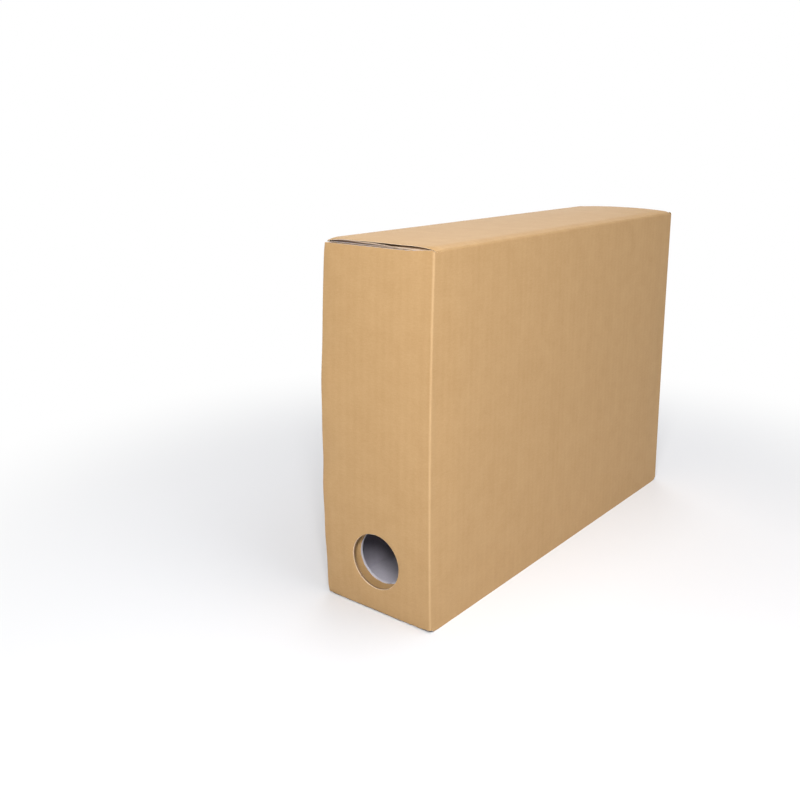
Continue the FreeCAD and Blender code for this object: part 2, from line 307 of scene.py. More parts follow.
@dataclass(frozen=True)
class Settling:
    """How the empty box has settled out of true, as the photograph shows it."""

    sizes: BoxSizes
    rise_power: float = 0.75
    right_bulge: float = 2.4 * MM
    right_bulge_at_ends: float = 1.2 * MM
    corner_in: float = 1.0 * MM
    corner_out: float = 1.3 * MM
    corner_reach: float = 29 * MM
    flap_bow: float = 3.2 * MM
    flap_bow_power: float = 1.2
    flap_ripple: float = 0.45 * MM
    ripple_reach: float = 16 * MM
    # For each ripple: its share, its length, its phase and how that differs between the two ends
    ripples: tuple[tuple[float, float, float, int], ...] = (
        (1.0, 94 * MM, 2.2, 1),
        (0.6, 41 * MM, 0.4, 0),
    )
    crown: float = 1.3 * MM
    crown_end: float = 0.3
    flap_rise: float = 0.15 * MM
    flap_corner_rise: float = 2.0 * MM
    flap_corner_reach: float = 12 * MM
    foot_rise: float = 1.2 * MM
    foot_reach: float = 5 * MM
    foot_height: float = 20 * MM

    def rise(self, up: Points) -> Points:
        """Give 0 at the floor and the top and 1 at mid-height, full over most of the height."""
        share = np.clip(up / self.sizes.height, 0.0, 1.0)
        return np.sin(math.pi * share) ** self.rise_power

    def at_end(self, along: Points) -> Points:
        """Give 0 along the sleeve and 1 at its two ends."""
        start = self.sizes.side_end - self.corner_reach
        return smooth((np.abs(along) - start) / self.corner_reach)

    def sleeve(self, places: Points) -> Points:
        """Move points of the sleeve's four panels from true to settled.

        Args:
            places: one row of X, Y and Z for each point.

        Returns:
            The moved points.
        """
        across, along, up = places.T
        rise, end = self.rise(up), self.at_end(along)
        inside = self.sizes.inside
        rightness = smooth((across + inside) / (2 * inside))
        bulge = self.right_bulge + (self.right_bulge_at_ends - self.right_bulge) * end
        moved = places.copy()
        moved[:, 0] += rise * (bulge * rightness + self.corner_in * end * (1 - rightness))
        moved[:, 1] += np.sign(along) * rise * self.corner_out * end * (1 - rightness)
        half = self.sizes.half_length
        # The top's crown is full at the front end and gone some way past the middle
        crown = self.crown * smooth((self.crown_end * half - along) / ((1 + self.crown_end) * half))
        arch = np.cos(QUARTER * across / inside).clip(0)
        moved[:, 2] += crown * arch * smooth(up / self.sizes.height)
        moved[:, 2] += self.foot_lift(places)
        return moved

    def foot_lift(self, places: Points) -> Points:
        """Round off the two lower corners under the outer hinges, where boxes are knocked.

        Args:
            places: one row of X, Y and Z for each point.

        Returns:
            How far each point is lifted.
        """
        across, along, up = places.T
        reach = np.hypot(across + self.sizes.half_width, np.abs(along) - self.sizes.half_length)
        low = 1 - smooth(up / self.foot_height)
        return self.foot_rise * closeness(reach, self.foot_reach) * low

    def outer_flap(self, places: Points) -> Points:
        """Move points of an outer flap: it follows its hinge, and its free edge stands off.

        Args:
            places: one row of X, Y and Z for each point.

        Returns:
            The moved points.
        """
        across, along, up = places.T
        inside, rise = self.sizes.inside, self.rise(up)
        reach = np.clip((across + inside) / (2 * inside), 0.0, None)
        ripple = sum(
            share * np.sin(TURN * up / length + phase + apart * np.sign(along))
            for share, length, phase, apart in self.ripples
        )
        edge = smooth(1 - (inside - across) / self.ripple_reach)
        away = self.corner_out + self.flap_bow * reach**self.flap_bow_power
        moved = places.copy()
        moved[:, 0] += rise * self.corner_in
        moved[:, 1] += np.sign(along) * (rise * away + self.flap_ripple * ripple * edge * rise)
        corner = closeness(across + inside, self.flap_corner_reach)
        top = smooth(1 - (self.sizes.height - up) / self.flap_corner_reach)
        edge_up = smooth(1 - (self.sizes.height - up) / self.ripple_reach)
        moved[:, 2] += self.flap_corner_rise * corner * top + self.flap_rise * edge_up
        moved[:, 2] += self.foot_lift(places)
        return moved

    def inner_flap(self, places: Points) -> Points:
        """Move points of an inner flap with the fold that it hangs on.

        Args:
            places: one row of X, Y and Z for each point.

        Returns:
            The moved points.
        """
        moved = places.copy()
        moved[:, 0] += self.rise(places[:, 2]) * self.right_bulge_at_ends
        return moved


class Blank:
    """The flat die-cut sheet: where each panel lies on it, so that patterns cross the folds."""

    def __init__(self, sizes: BoxSizes) -> None:
        """Lay out the panels.

        Args:
            sizes: the folded box's sizes.
        """
        fold, inside = sizes.fold, sizes.inside
        crease_up = sizes.height - sizes.board
        top = crease_up + fold + inside
        right = top + inside + fold + crease_up
        bottom = right - sizes.board + fold + inside
        front = -sizes.side_end - fold - inside
        rear = sizes.side_end + fold + inside
        inner_front = -sizes.right_end - fold - inside
        inner_rear = sizes.right_end + fold + inside
        # For each panel: where its two coordinates start on the blank, and which way they run
        self.layout = {
            "left_side": (0.0, 1, 0.0, 1),
            "top": (0.0, 1, top, 1),
            "right_side": (0.0, 1, right, -1),
            "bottom": (0.0, 1, bottom, -1),
            "front_outer_flap": (front, -1, 0.0, 1),
            "rear_outer_flap": (rear, 1, 0.0, 1),
            "front_inner_flap": (inner_front, 1, right, -1),
            "rear_inner_flap": (inner_rear, -1, right, -1),
        }

    def lay(self, panel: str, flat: Points) -> Points:
        """Find where points of a panel lie on the blank.

        Args:
            panel: the panel's name.
            flat: the points' coordinates along the run, along the flutes and through the board.

        Returns:
            The same points in the blank's coordinates.
        """
        start_run, sign_run, start_flute, sign_flute = self.layout[panel]
        laid = flat.copy()
        laid[:, 0] = start_run + sign_run * flat[:, 0]
        laid[:, 1] = start_flute + sign_flute * flat[:, 1]
        return laid


def add_object(name: str, data: bpy.types.ID) -> bpy.types.Object:
    """Put a mesh, a lamp or a camera into the scene.

    Args:
        name: the object's name.
        data: its mesh, lamp or camera data.

    Returns:
        The object.
    """
    holder = bpy.data.objects.new(name, data)
    bpy.context.scene.collection.objects.link(holder)
    return holder


def make_piece(
    name: str,
    vertices: Points,
    faces: Sequence[Sequence[int]],
    layers: Sequence[Layer] | None,
    materials: Sequence[bpy.types.Material],
    attributes: dict[str, Points],
) -> bpy.types.Object:
    """Make a piece of the object from vertices and faces that already point outwards.

    Args:
        name: the piece's name.
        vertices: the vertices in metres, in place.
        faces: the vertex numbers of each face.
        layers: the material slot of each face, or none where all faces share the first.
        materials: the piece's materials.
        attributes: for each attribute's name, a number or a vector for each vertex.

    Returns:
        The new object, linked into the scene.
    """
    mesh = bpy.data.meshes.new(name)
    mesh.from_pydata(vertices.tolist(), [], faces)
    for material in materials:
        mesh.materials.append(material)
    if layers is not None:
        mesh.polygons.foreach_set("material_index", [layer.value for layer in layers])
    for label, values in attributes.items():
        put_attribute(mesh, label, values)
    finish_shading(mesh)
    return add_object(name, mesh)


def thin_solid(
    name: str,
    vertices: Points,
    face: Sequence[Sequence[int]],
    rim: Sequence[tuple[int, int]],
    outwards: int,
    materials: Sequence[bpy.types.Material],
    attributes: dict[str, Points],
) -> bpy.types.Object:
    """Make a closed thin solid from two faces that are divided in the same way.

    Args:
        name: the piece's name.
        vertices: the vertices of the first face, and then those of the last.
        face: the vertex numbers of each part of the first face.
        rim: the edges of its border, each with the face on its left.
        outwards: 1 where the parts run anticlockwise as seen from the last face, else -1.
        materials: the faces' paper and the cut edges' paper.
        attributes: for each attribute's name, a number or a vector for each vertex.

    Returns:
        The piece.
    """
    count = len(vertices) // 2
    faces = [tuple(count + spot for spot in part) for part in face]
    faces += [tuple(part[::-1]) for part in face]
    faces += [(start, end, count + end, count + start) for start, end in rim]
    if outwards < 0:
        faces = [part[::-1] for part in faces]
    layers = [Layer.FACE] * (2 * len(face)) + [Layer.EDGE] * len(rim)
    return make_piece(name, vertices, faces, layers, materials, attributes)


def carry(piece: bpy.types.Object, body: str, ply: Ply) -> None:
    """Let a finished piece ride on a body, and log it.

    Args:
        piece: the piece.
        body: the body that it rides on.
        ply: its paper; not used.
    """
    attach(piece, body)
    report(piece)


def report(piece: bpy.types.Object) -> None:
    """Log a finished piece."""
    log.info("%s: %d faces", piece.name, len(piece.data.polygons))


def put_attribute(mesh: bpy.types.Mesh, label: str, values: Points) -> None:
    """Keep a number or a vector for each vertex of a mesh, under an attribute's name.

    Args:
        mesh: the mesh.
        label: the name.
        values: a number or a row for each vertex.
    """
    vector = values.ndim == 2
    attribute = mesh.attributes.new(label, "FLOAT_VECTOR" if vector else "FLOAT", "POINT")
    attribute.data.foreach_set("vector" if vector else "value", values.astype(np.float32).ravel())


def finish_shading(mesh: bpy.types.Mesh, sharp_from: float = 38.0) -> None:
    """Shade a mesh smooth, with its edges sharp from an angle in degrees.

    Args:
        mesh: the mesh.
        sharp_from: the angle.
    """
    mesh.polygons.foreach_set("use_smooth", [True] * len(mesh.polygons))
    mesh.update()
    mesh.set_sharp_from_angle(angle=math.radians(sharp_from))


@dataclass
class FlatOutline:
    """A flat cut piece: its outline and holes, with points spread evenly over it."""

    corners: list[tuple[float, float]]
    holes: list[list[tuple[float, float]]] = field(default_factory=list)
    spacing: float = 6 * MM
    beside: float = 1.6 * MM
    clear_beside: float = 0.7
    clear_grid: float = 0.6
    merged: float = 1e-9

    def ring(self, corners: Sequence[tuple[float, float]]) -> list[tuple[float, float]]:
        """Put points along a closed line, no further apart than the spacing.

        Args:
            corners: the line's corners in order.

        Returns:
            The points, with the corners among them.
        """
        points = []
        for start, end in zip(corners, [*corners[1:], corners[0]], strict=True):
            steps = max(1, math.ceil(math.dist(start, end) / self.spacing))
            points += [
                tuple(a + (b - a) * step / steps for a, b in zip(start, end, strict=True))
                for step in range(steps)
            ]
        return points

    @staticmethod
    def holds(ring: Points, places: Points) -> Points:
        """Tell which places lie inside a closed line.

        Args:
            ring: the line's points.
            places: the places to test.

        Returns:
            True for each place inside.
        """
        inside = np.zeros(len(places), bool)
        for (x1, y1), (x2, y2) in zip(ring, np.roll(ring, -1, axis=0), strict=True):
            spans = (y1 > places[:, 1]) != (y2 > places[:, 1])
            slope = (x2 - x1) / (y2 - y1) if y1 != y2 else 0.0
            inside ^= spans & (places[:, 0] < x1 + slope * (places[:, 1] - y1))
        return inside

    def kept(self, outline: Points, holes: Sequence[Points], places: Points) -> Points:
        """Tell which places lie inside the outline and outside the holes.

        Args:
            outline: the outline's points.
            holes: the points of each hole.
            places: the places to test.

        Returns:
            True for each place on the piece.
        """
        kept = self.holds(outline, places)
        for hole in holes:
            kept &= ~self.holds(hole, places)
        return kept

    def shifted(self, ring: Points, side: int) -> Points:
        """Shift a closed line's points a little to one side, to hold what happens near the cut.

        Args:
            ring: the line's points.
            side: 1 for the left side, -1 for the right.

        Returns:
            The shifted points.
        """
        along = np.roll(ring, -1, axis=0) - np.roll(ring, 1, axis=0)
        along /= np.maximum(np.hypot(*along.T), self.merged)[:, None]
        return ring + side * self.beside * np.column_stack([-along[:, 1], along[:, 0]])

    @staticmethod
    def gaps(border: Points, places: Points) -> Points:
        """Measure how far each place lies from the nearest point of the border."""
        return np.array([np.hypot(*(border - spot).T).min() for spot in places])

    def triangles(self) -> tuple[Points, list[tuple[int, ...]], list[tuple[int, int]]]:
        """Divide the flat piece into triangles.

        Returns:
            The points, the triangles, and the border's edges, each with the piece on its left.
        """
        rings = [np.array(self.ring(line)) for line in (self.corners, *self.holes)]
        outline, holes = rings[0], rings[1:]
        low, high = outline.min(axis=0), outline.max(axis=0)
        counts = np.maximum(2, np.round((high - low) / self.spacing).astype(int))
        grid = np.stack(
            np.meshgrid(
                *(np.linspace(low[axis], high[axis], counts[axis] + 1)[1:-1] for axis in (0, 1)),
                indexing="ij",
            ),
            axis=-1,
        ).reshape(-1, 2)
        border = np.concatenate(rings)
        beside = np.concatenate([self.shifted(ring, side) for ring in rings for side in (-1, 1)])
        inner = [
            spots[self.kept(outline, holes, spots) & (self.gaps(border, spots) > clear)]
            for spots, clear in (
                (beside, self.clear_beside * self.beside),
                (grid, self.clear_grid * self.spacing),
            )
        ]
        constraints, start = [], 0
        for ring in rings:
            count = len(ring)
            constraints += [(start + step, start + (step + 1) % count) for step in range(count)]
            start += count
        spots = [Vector(spot) for spot in np.concatenate([border, *inner])]
        points, _, faces, *_ = delaunay_2d_cdt(spots, constraints, [], 0, self.merged)
        points = np.array([tuple(spot) for spot in points])
        inside = self.kept(outline, holes, points[np.array(faces)].mean(axis=1))
        faces = [tuple(face) for face, kept_face in zip(faces, inside, strict=True) if kept_face]
        edges = {(face[side], face[(side + 1) % 3]) for face in faces for side in range(3)}
        rim = [(start, end) for start, end in edges if (end, start) not in edges]
        return points, faces, rim


def grid_solid(
    name: str,
    surface: Callable[[Points, Points, float], Points],
    shares: tuple[Points, Points],
    depths: tuple[float, float],
    materials: tuple[bpy.types.Material, bpy.types.Material],
    sheet: Callable[[Points, Points, float], Points],
    wear_and_highlight_share: Callable[[Points], Points],
    outwards: int,
) -> bpy.types.Object:
    """Make a closed thin solid from a surface that is known by two coordinates and a depth.

    Args:
        name: the piece's name.
        surface: gives places from the two coordinates and a depth.
        shares: the values of the two coordinates, in order.
        depths: the depths of the first and the last face.
        materials: the faces' paper and the cut edges' paper.
        sheet: gives the blank's coordinates in the same way.
        wear_and_highlight_share: gives the crease attribute, paler wear and a painted highlight on
            folds, from the first coordinate.
        outwards: 1 where the two coordinates and the depth are right-handed, else -1.

    Returns:
        The piece.
    """
    first, second = (grid.ravel() for grid in np.meshgrid(*shares, indexing="ij"))
    numbers = np.arange(len(first)).reshape(len(shares[0]), len(shares[1]))
    corners = (numbers[:-1, :-1], numbers[1:, :-1], numbers[1:, 1:], numbers[:-1, 1:])
    squares = np.stack(corners, axis=-1).reshape(-1, 4).tolist()
    ring = [*numbers[:, 0], *numbers[-1, 1:], *numbers[-2::-1, -1], *numbers[0, -2:0:-1]]
    ring = [int(spot) for spot in ring]
    rim = list(zip(ring, [*ring[1:], ring[0]], strict=True))
    vertices = np.concatenate([surface(first, second, depth) for depth in depths])
    attributes = {
        SHEET: np.concatenate([sheet(first, second, depth) for depth in depths]),
        CREASE: np.concatenate([wear_and_highlight_share(first)] * len(depths)),
    }
    return thin_solid(name, vertices, squares, rim, outwards, materials, attributes)


@dataclass(frozen=True)
class PaperFinish:
    """Unbleached paper: its colour, the clouding of its pulp, its fibres and its flute marks.

    The swings are how far each pattern carries the colour from dark to pale; the flute marks' swing
    is painted shade of the washboard. The paler wear colour is torn or stretched paper, and over
    folds on the kraft also a painted highlight.
    """

    name: str
    dark: str
    pale: str
    # Paler colour of torn and stretched paper; over folds on the kraft it also paints a highlight
    wear_and_highlight: str = "E4CDB0"
    cloud_size: float = 14 * MM
    cloud_swing: float = 0.5
    grain_size: float = 1.4 * MM
    grain_swing: float = 0.5
    grain_relief: float = 0.6
    fibre_length: float = 5.0 * MM
    fibre_width: float = 0.7 * MM
    fibre_swing: float = 0.4
    band_length: float = 70 * MM
    band_width: float = 6 * MM
    band_swing: float = 0.22
    speck_spacing: float = 3.5 * MM
    speck_reach: tuple[float, float] = (0.04, 0.13)
    speck_share: float = 0.35
    flute_mark: float = 0.0
    flute_pitch: float = 6.4 * MM
    # The flute wave's tint is painted shade of the washboard; its relief is the bump
    flute_swing: float = 0.06
    relief: float = 0.06 * MM
    roughness: float = 0.7
    specular: float = 0.34
    wear_and_highlight_gain: float = 0.08

    def build(self, coordinates: Coordinates = Coordinates.SHEET) -> bpy.types.Material:
        """Make the material.

        Args:
            coordinates: what the pattern follows.

        Returns:
            The material.
        """
        material = bpy.data.materials.new(self.name)
        nodes = Nodes.emptied(material)
        place = self.place(nodes, coordinates)
        colour, marks = self.pulp(nodes, place)
        nodes.surface(
            {"Strength": 1.0, "Distance": self.relief, "Height": marks},
            {
                "Base Color": self.printed(nodes, place, colour),
                "Roughness": self.roughness,
                "Specular IOR Level": self.specular,
            },
        )
        return material

    def place(self, nodes: Nodes, coordinates: Coordinates) -> Socket:
        """Give the pattern's coordinates, on the blank or in the object.

        Args:
            nodes: the material's nodes.
            coordinates: what the pattern follows.

        Returns:
            The coordinates.
        """
        if coordinates is Coordinates.SHEET:
            return nodes.add("ShaderNodeAttribute", attribute_name=SHEET).outputs["Vector"]
        here = nodes.add("ShaderNodeTexCoord").outputs["Object"]
        # The seam flap stands upright along Y, so its run and flute directions are Y and Z
        turned = {"Vector": here, "Rotation": (0.0, 0.0, -QUARTER)}
        return nodes.add("ShaderNodeMapping", turned).outputs["Vector"]

    def pulp(self, nodes: Nodes, place: Socket) -> tuple[Socket, Socket]:
        """Colour the paper by its pulp, fibres and specks, with painted shade along the flute marks
        and a paler colour at cuts and creases: torn or stretched paper, and a painted highlight on
        folds.

        Args:
            nodes: the material's nodes.
            place: the pattern's coordinates.

        Returns:
            The sockets of the colour and of the relief's height.
        """
        clouds = nodes.noise(place, self.cloud_size, 3.0)
        grain = nodes.noise(place, self.grain_size, 4.0)
        hairs = nodes.drawn(place, self.fibre_length, self.fibre_width)
        fibres = nodes.noise(hairs, 1.0, 3.0, 0.6)
        streaks = nodes.drawn(place, self.band_length, self.band_width, axis=1)
        bands = nodes.noise(streaks, 1.0, 2.0, 0.5)
        # The flute wave goes into the colour as painted shade of the washboard, and into the bump
        mark = self.flutes(nodes, place)
        tone: Socket | float = 0.5
        for pattern, swing in (
            (clouds, self.cloud_swing),
            (bands, self.band_swing),
            (grain, self.grain_swing),
            (fibres, self.fibre_swing),
            (mark, self.flute_swing),
        ):
            tone = nodes.maths("MULTIPLY_ADD", nodes.maths("SUBTRACT", pattern, 0.5), swing, tone)
        shade = nodes.mix(tone, linear(self.dark), linear(self.pale))
        spots = {"Vector": place, "Scale": 1 / self.speck_spacing, "Randomness": 1.0}
        away = nodes.add("ShaderNodeTexVoronoi", spots).outputs["Distance"]
        speck = nodes.ramp(away, self.speck_reach, (self.speck_share, 0.0))
        specked = nodes.mix(speck, shade, linear(self.dark))
        # The paler colour where paper is torn or stretched; along folds it is also a painted
        # highlight
        wear_and_highlight_share = nodes.add("ShaderNodeAttribute", attribute_name=CREASE).outputs["Fac"]
        wear_and_highlight_share = nodes.maths("MULTIPLY", wear_and_highlight_share, self.wear_and_highlight_gain)
        rough = nodes.maths("MULTIPLY_ADD", grain, self.grain_relief, fibres)
        height = nodes.maths("MULTIPLY_ADD", mark, self.flute_mark, rough)
        return nodes.mix(wear_and_highlight_share, specked, linear(self.wear_and_highlight)), height

    def flutes(self, nodes: Nodes, place: Socket) -> Socket:
        """Make the faint washboard that the flutes press into a liner, from 0 to 1.

        Args:
            nodes: the material's nodes.
            place: the pattern's coordinates.

        Returns:
            The wave.
        """
        run = nodes.add("ShaderNodeSeparateXYZ", {"Vector": place}).outputs["X"]
        wave = nodes.maths("SINE", nodes.maths("MULTIPLY", run, TURN / self.flute_pitch))
        return nodes.maths("MULTIPLY_ADD", wave, 0.5, 0.5)

    def printed(self, nodes: Nodes, place: Socket, colour: Socket) -> Socket:
        """Give the paper's colour with any print on it. Plain paper has none."""
        return colour


@dataclass(frozen=True)
class RoundedFrame:
    """One printed rounded rectangle, or a plain stroke where its height is nothing."""

    middle: tuple[float, float]
    half: tuple[float, float]
    corner: float

    def distance(self, nodes: Nodes, parts: bpy.types.Node) -> Socket:
        """Find the distance in metres from each place to the frame's line.

        Args:
            nodes: the material's nodes.
            parts: the node that gives the place's coordinates.

        Returns:
            The socket of the distance.
        """
        over = []
        for axis, middle, half in zip("XY", self.middle, self.half, strict=True):
            away = nodes.maths("ABSOLUTE", nodes.maths("SUBTRACT", parts.outputs[axis], middle))
            over.append(nodes.maths("SUBTRACT", away, half - self.corner))
        across, up = (nodes.maths("MAXIMUM", past, 0.0) for past in over)
        squares = nodes.maths("MULTIPLY_ADD", up, up, nodes.maths("MULTIPLY", across, across))
        within = nodes.maths("MINIMUM", nodes.maths("MAXIMUM", *over), 0.0)
        signed = nodes.maths("ADD", nodes.maths("SQRT", squares), within)
        return nodes.maths("ABSOLUTE", nodes.maths("SUBTRACT", signed, self.corner))


@dataclass(frozen=True)
class PrintedFinish(PaperFinish):
    """Kraft liner printed in one ink: empty label frames and ruled lines, as flexo prints them."""

    ink: str = "2B3152"
    line: float = 0.9 * MM
    softness: float = 0.12 * MM
    cover: float = 0.93
    starved_size: float = 1.1 * MM
    starved_at: tuple[float, float] = (0.3, 0.42)
    starved_cover: float = 0.72
    frames: tuple[RoundedFrame, ...] = ()

    def printed(self, nodes: Nodes, place: Socket, colour: Socket) -> Socket:
        """Lay the ink over the paper's colour, thinner where the paper dips.

        Args:
            nodes: the material's nodes.
            place: the pattern's coordinates.
            colour: the bare paper's colour.

        Returns:
            The printed colour.
        """
        parts = nodes.add("ShaderNodeSeparateXYZ", {"Vector": place})
        nearest, *others = (shape.distance(nodes, parts) for shape in self.frames)
        for gap in others:
            nearest = nodes.maths("MINIMUM", nearest, gap)
        edge = (self.line / 2 - self.softness, self.line / 2 + self.softness)
        mask = nodes.ramp(nearest, edge, (self.cover, 0.0))
        dips = nodes.noise(place, self.starved_size, 2.0)
        starved = nodes.ramp(dips, self.starved_at, (self.starved_cover, 1.0))
        return nodes.mix(nodes.maths("MULTIPLY", mask, starved), colour, linear(self.ink))


@dataclass(frozen=True)
class GlueFinish:
    """Dried white wood glue: a slightly glossy, yellowed film with brush streaks."""

    name: str = "PVA glue, rolled on and dried"
    colour: str = "E3DAC0"
    streak: str = "CDBF9C"
    streak_length: float = 30 * MM
    streak_width: float = 2 * MM
    streak_strength: float = 0.6
    streak_relief: float = 0.1 * MM
    roughness: float = 0.38
    refraction: float = 1.46

    def build(self) -> bpy.types.Material:
        """Make the material.

        Returns:
            The material.
        """
        material = bpy.data.materials.new(self.name)
        nodes = Nodes.emptied(material)
        here = nodes.add("ShaderNodeTexCoord").outputs["Object"]
        along = nodes.drawn(here, self.streak_length, self.streak_width, axis=1)
        streaks = nodes.noise(along, 1.0, 3.0, 0.5)
        depth, share = self.streak_relief, self.streak_strength
        nodes.surface(
            {"Strength": share, "Distance": depth, "Height": streaks},
            {
                "Base Color": nodes.mix(streaks, linear(self.streak), linear(self.colour)),
                "Roughness": self.roughness,
                "IOR": self.refraction,
            },
        )
        return material


class Finishes:
    """All the materials of the object, each made once."""

    def __init__(self, frames: tuple[RoundedFrame, ...]) -> None:
        """Make the materials.

        Args:
            frames: the frames printed on the front end.
        """
        # Brown kraft liner: long unbleached fibres, so a warm mottled tan with fine dark hairs
        kraft = {"dark": "A58153", "pale": "BB996D", "flute_mark": 0.3}
        # Grey liner: recycled pulp with specks of old print, so a cool grey with many dark dots
        grey = {"dark": "B3AEB9", "pale": "D2CED8", "flute_mark": 0.3}
        grey |= {"speck_spacing": 2.2 * MM, "speck_share": 0.6}
        # Fluting paper: short recycled fibres, duller and darker than the kraft that covers it
        medium = {"dark": "6E5741", "pale": "97795C", "wear_and_highlight": "DDC9B4", "wear_and_highlight_gain": 0.9}
        self.kraft = PaperFinish("Kraft liner, machine made", **kraft).build()
        self.printed = PrintedFinish("Kraft liner, flexo printed", frames=frames, **kraft).build()
        self.grey = PaperFinish("Recycled grey liner, machine made", **grey).build()
        self.medium = PaperFinish("Fluting paper, pressed hot", **medium).build()
        # Cut liner: the knife tears the fibres, which scatter more light and look paler
        torn = {"relief": 0.12 * MM}
        self.kraft_edge = PaperFinish(
            "Kraft liner, die cut edge", "C9A984", "E6CFB4", **torn
        ).build()
        self.grey_edge = PaperFinish(
            "Recycled grey liner, die cut edge", "BDB8C2", "DCD8DF", "E6E2E6", **torn
        ).build()
        in_place = Coordinates.OBJECT
        self.grey_seam = PaperFinish("Recycled grey liner, seam flap", **grey).build(in_place)
        self.kraft_seam = PaperFinish("Kraft liner, seam flap", **kraft).build(in_place)
        self.medium_seam = PaperFinish("Fluting paper, seam flap", **medium).build(in_place)
        self.glue = GlueFinish().build()


class FlutingTree:
    """A Geometry Nodes tree that waves a flat sheet into fluting and cuts it out."""

    crest_gain = 1.2
    hole_sides = 96
    weld = 0.001 * MM

    def __init__(self, cut: Cut) -> None:
        """Build the tree.

        Args:
            cut: what is cut out of the sheet.
        """
        self.tree = bpy.data.node_groups.new(f"Fluted paper, {cut.value}", "GeometryNodeTree")
        self.tree.is_modifier = True
        sockets = self.tree.interface
        sockets.new_socket("Geometry", in_out="OUTPUT", socket_type="NodeSocketGeometry")
        self.sockets: dict[str, str] = {}
        for kind, names in {
            "Float": ("Run", "Flute length", "Pitch", "Wave height", "Paper", "Skew"),
            "Int": ("Points along run", "Points along flute"),
            "Vector": ("Cut middle", "Cut size"),
            "Material": ("Material",),
        }.items():
            for name in names:
                kept = f"NodeSocket{kind}"
                socket = sockets.new_socket(name, in_out="INPUT", socket_type=kept)
                self.sockets[name] = socket.identifier
        self.nodes = Nodes(self.tree)
        self.given = self.nodes.add("NodeGroupInput").outputs
        solid = self.cut_out(self.thicken(self.waves()), cut)
        plain = self.nodes.add("GeometryNodeRealizeInstances", {"Geometry": solid})
        painted = self.nodes.add(
            "GeometryNodeSetMaterial",
            {"Geometry": plain.outputs["Geometry"], "Material": self.given["Material"]},
        )
        self.nodes.add("NodeGroupOutput", {"Geometry": painted.outputs["Geometry"]})

    def waves(self) -> Socket:
        """Make the waved sheet: X along the run, Y along the flutes, crests flattened a little.

        Returns:
            The sheet.
        """
        maths, given = self.nodes.maths, self.given
        grid = self.nodes.add(
            "GeometryNodeMeshGrid",
            {
                "Size X": given["Run"],
                "Size Y": given["Flute length"],
                "Vertices X": given["Points along run"],
                "Vertices Y": given["Points along flute"],
            },
        )
        place = self.nodes.add("GeometryNodeInputPosition").outputs["Position"]
        parts = self.nodes.add("ShaderNodeSeparateXYZ", {"Vector": place}).outputs
        lean = maths("DIVIDE", parts["Y"], given["Flute length"])
        along = maths("MULTIPLY_ADD", lean, given["Skew"], parts["X"])
        wave = maths("SINE", maths("MULTIPLY", maths("DIVIDE", along, given["Pitch"]), TURN))
        crests = maths("MINIMUM", maths("MULTIPLY", wave, self.crest_gain), 1.0)
        crests = maths("MAXIMUM", crests, -1.0)
        reach = maths("MULTIPLY", maths("SUBTRACT", given["Wave height"], given["Paper"]), 0.5)
        offset = self.nodes.add("ShaderNodeCombineXYZ", {"Z": maths("MULTIPLY", crests, reach)})
        return self.moved(grid.outputs["Mesh"], offset.outputs["Vector"])

    def moved(self, sheet: Socket, offset: Socket) -> Socket:
        """Move a sheet's points by an offset."""
        values = {"Geometry": sheet, "Offset": offset}
        return self.nodes.add("GeometryNodeSetPosition", values).outputs["Geometry"]

    def thicken(self, sheet: Socket) -> Socket:
        """Give the sheet the paper's thickness, as a closed solid about its middle surface.

        Args:
            sheet: the waved sheet.

        Returns:
            The solid.
        """
        nodes, paper = self.nodes, self.given["Paper"]
        normal = nodes.add("GeometryNodeInputNormal").outputs["Normal"]
        half = {0: normal, "Scale": nodes.maths("MULTIPLY", paper, -0.5)}
        offset = nodes.add("ShaderNodeVectorMath", half, operation="SCALE").outputs["Vector"]
        low = self.moved(sheet, offset)
        raised = nodes.add(
            "GeometryNodeExtrudeMesh", {"Mesh": low, "Offset Scale": paper, "Individual": False}
        )
        under = nodes.add("GeometryNodeFlipFaces", {"Mesh": low})
        joined = nodes.add("GeometryNodeJoinGeometry", {"Geometry": raised.outputs["Mesh"]})
        self.tree.links.new(under.outputs["Mesh"], joined.inputs["Geometry"])
        closed = nodes.add(
            "GeometryNodeMergeByDistance",
            {"Geometry": joined.outputs["Geometry"], "Distance": self.weld},
        )
        return closed.outputs["Geometry"]

    def cut_out(self, solid: Socket, cut: Cut) -> Socket:
        """Cut the finger hole or the seam notch out of the fluting.

        Args:
            solid: the fluting.
            cut: what is cut out of it.

        Returns:
            What is left of it.
        """
        if cut is Cut.NONE:
            return solid
        nodes, size = self.nodes, self.given["Cut size"]
        if cut is Cut.FINGER_HOLE:
            parts = nodes.add("ShaderNodeSeparateXYZ", {"Vector": size}).outputs
            tool = nodes.add(
                "GeometryNodeMeshCylinder",
                {"Vertices": self.hole_sides, "Radius": parts["X"], "Depth": parts["Z"]},
            )
        else:
            tool = nodes.add("GeometryNodeMeshCube", {"Size": size})
        placed = nodes.add(
            "GeometryNodeTransform",
            {"Geometry": tool.outputs["Mesh"], "Translation": self.given["Cut middle"]},
        )
        left = nodes.add(
            "GeometryNodeMeshBoolean", {"Mesh 1": solid}, operation="DIFFERENCE", solver="EXACT"
        )
        self.tree.links.new(placed.outputs["Geometry"], left.inputs["Mesh 2"])
        return left.outputs["Mesh"]

    def bake(self, values: dict[str, object]) -> bpy.types.Mesh:
        """Run the tree once and keep its result as a plain mesh.

        Args:
            values: a value for each named input.

        Returns:
            The mesh, centred on its own origin.
        """
        holder = add_object("fluting_holder", bpy.data.meshes.new("fluting_holder"))
        modifier = holder.modifiers.new("Fluting", "NODES")
        modifier.node_group = self.tree
        for name, value in values.items():
            modifier[self.sockets[name]] = value
        evaluated = holder.evaluated_get(bpy.context.evaluated_depsgraph_get())
        mesh = bpy.data.meshes.new_from_object(evaluated)
        holder.modifiers.remove(modifier)
        bpy.data.objects.remove(holder)
        return mesh


@dataclass(frozen=True)
class Bend:
    """A crease at one edge of a panel, round which the outer liner turns inwards."""

    axis: int
    edge: float
    reach: float = math.inf


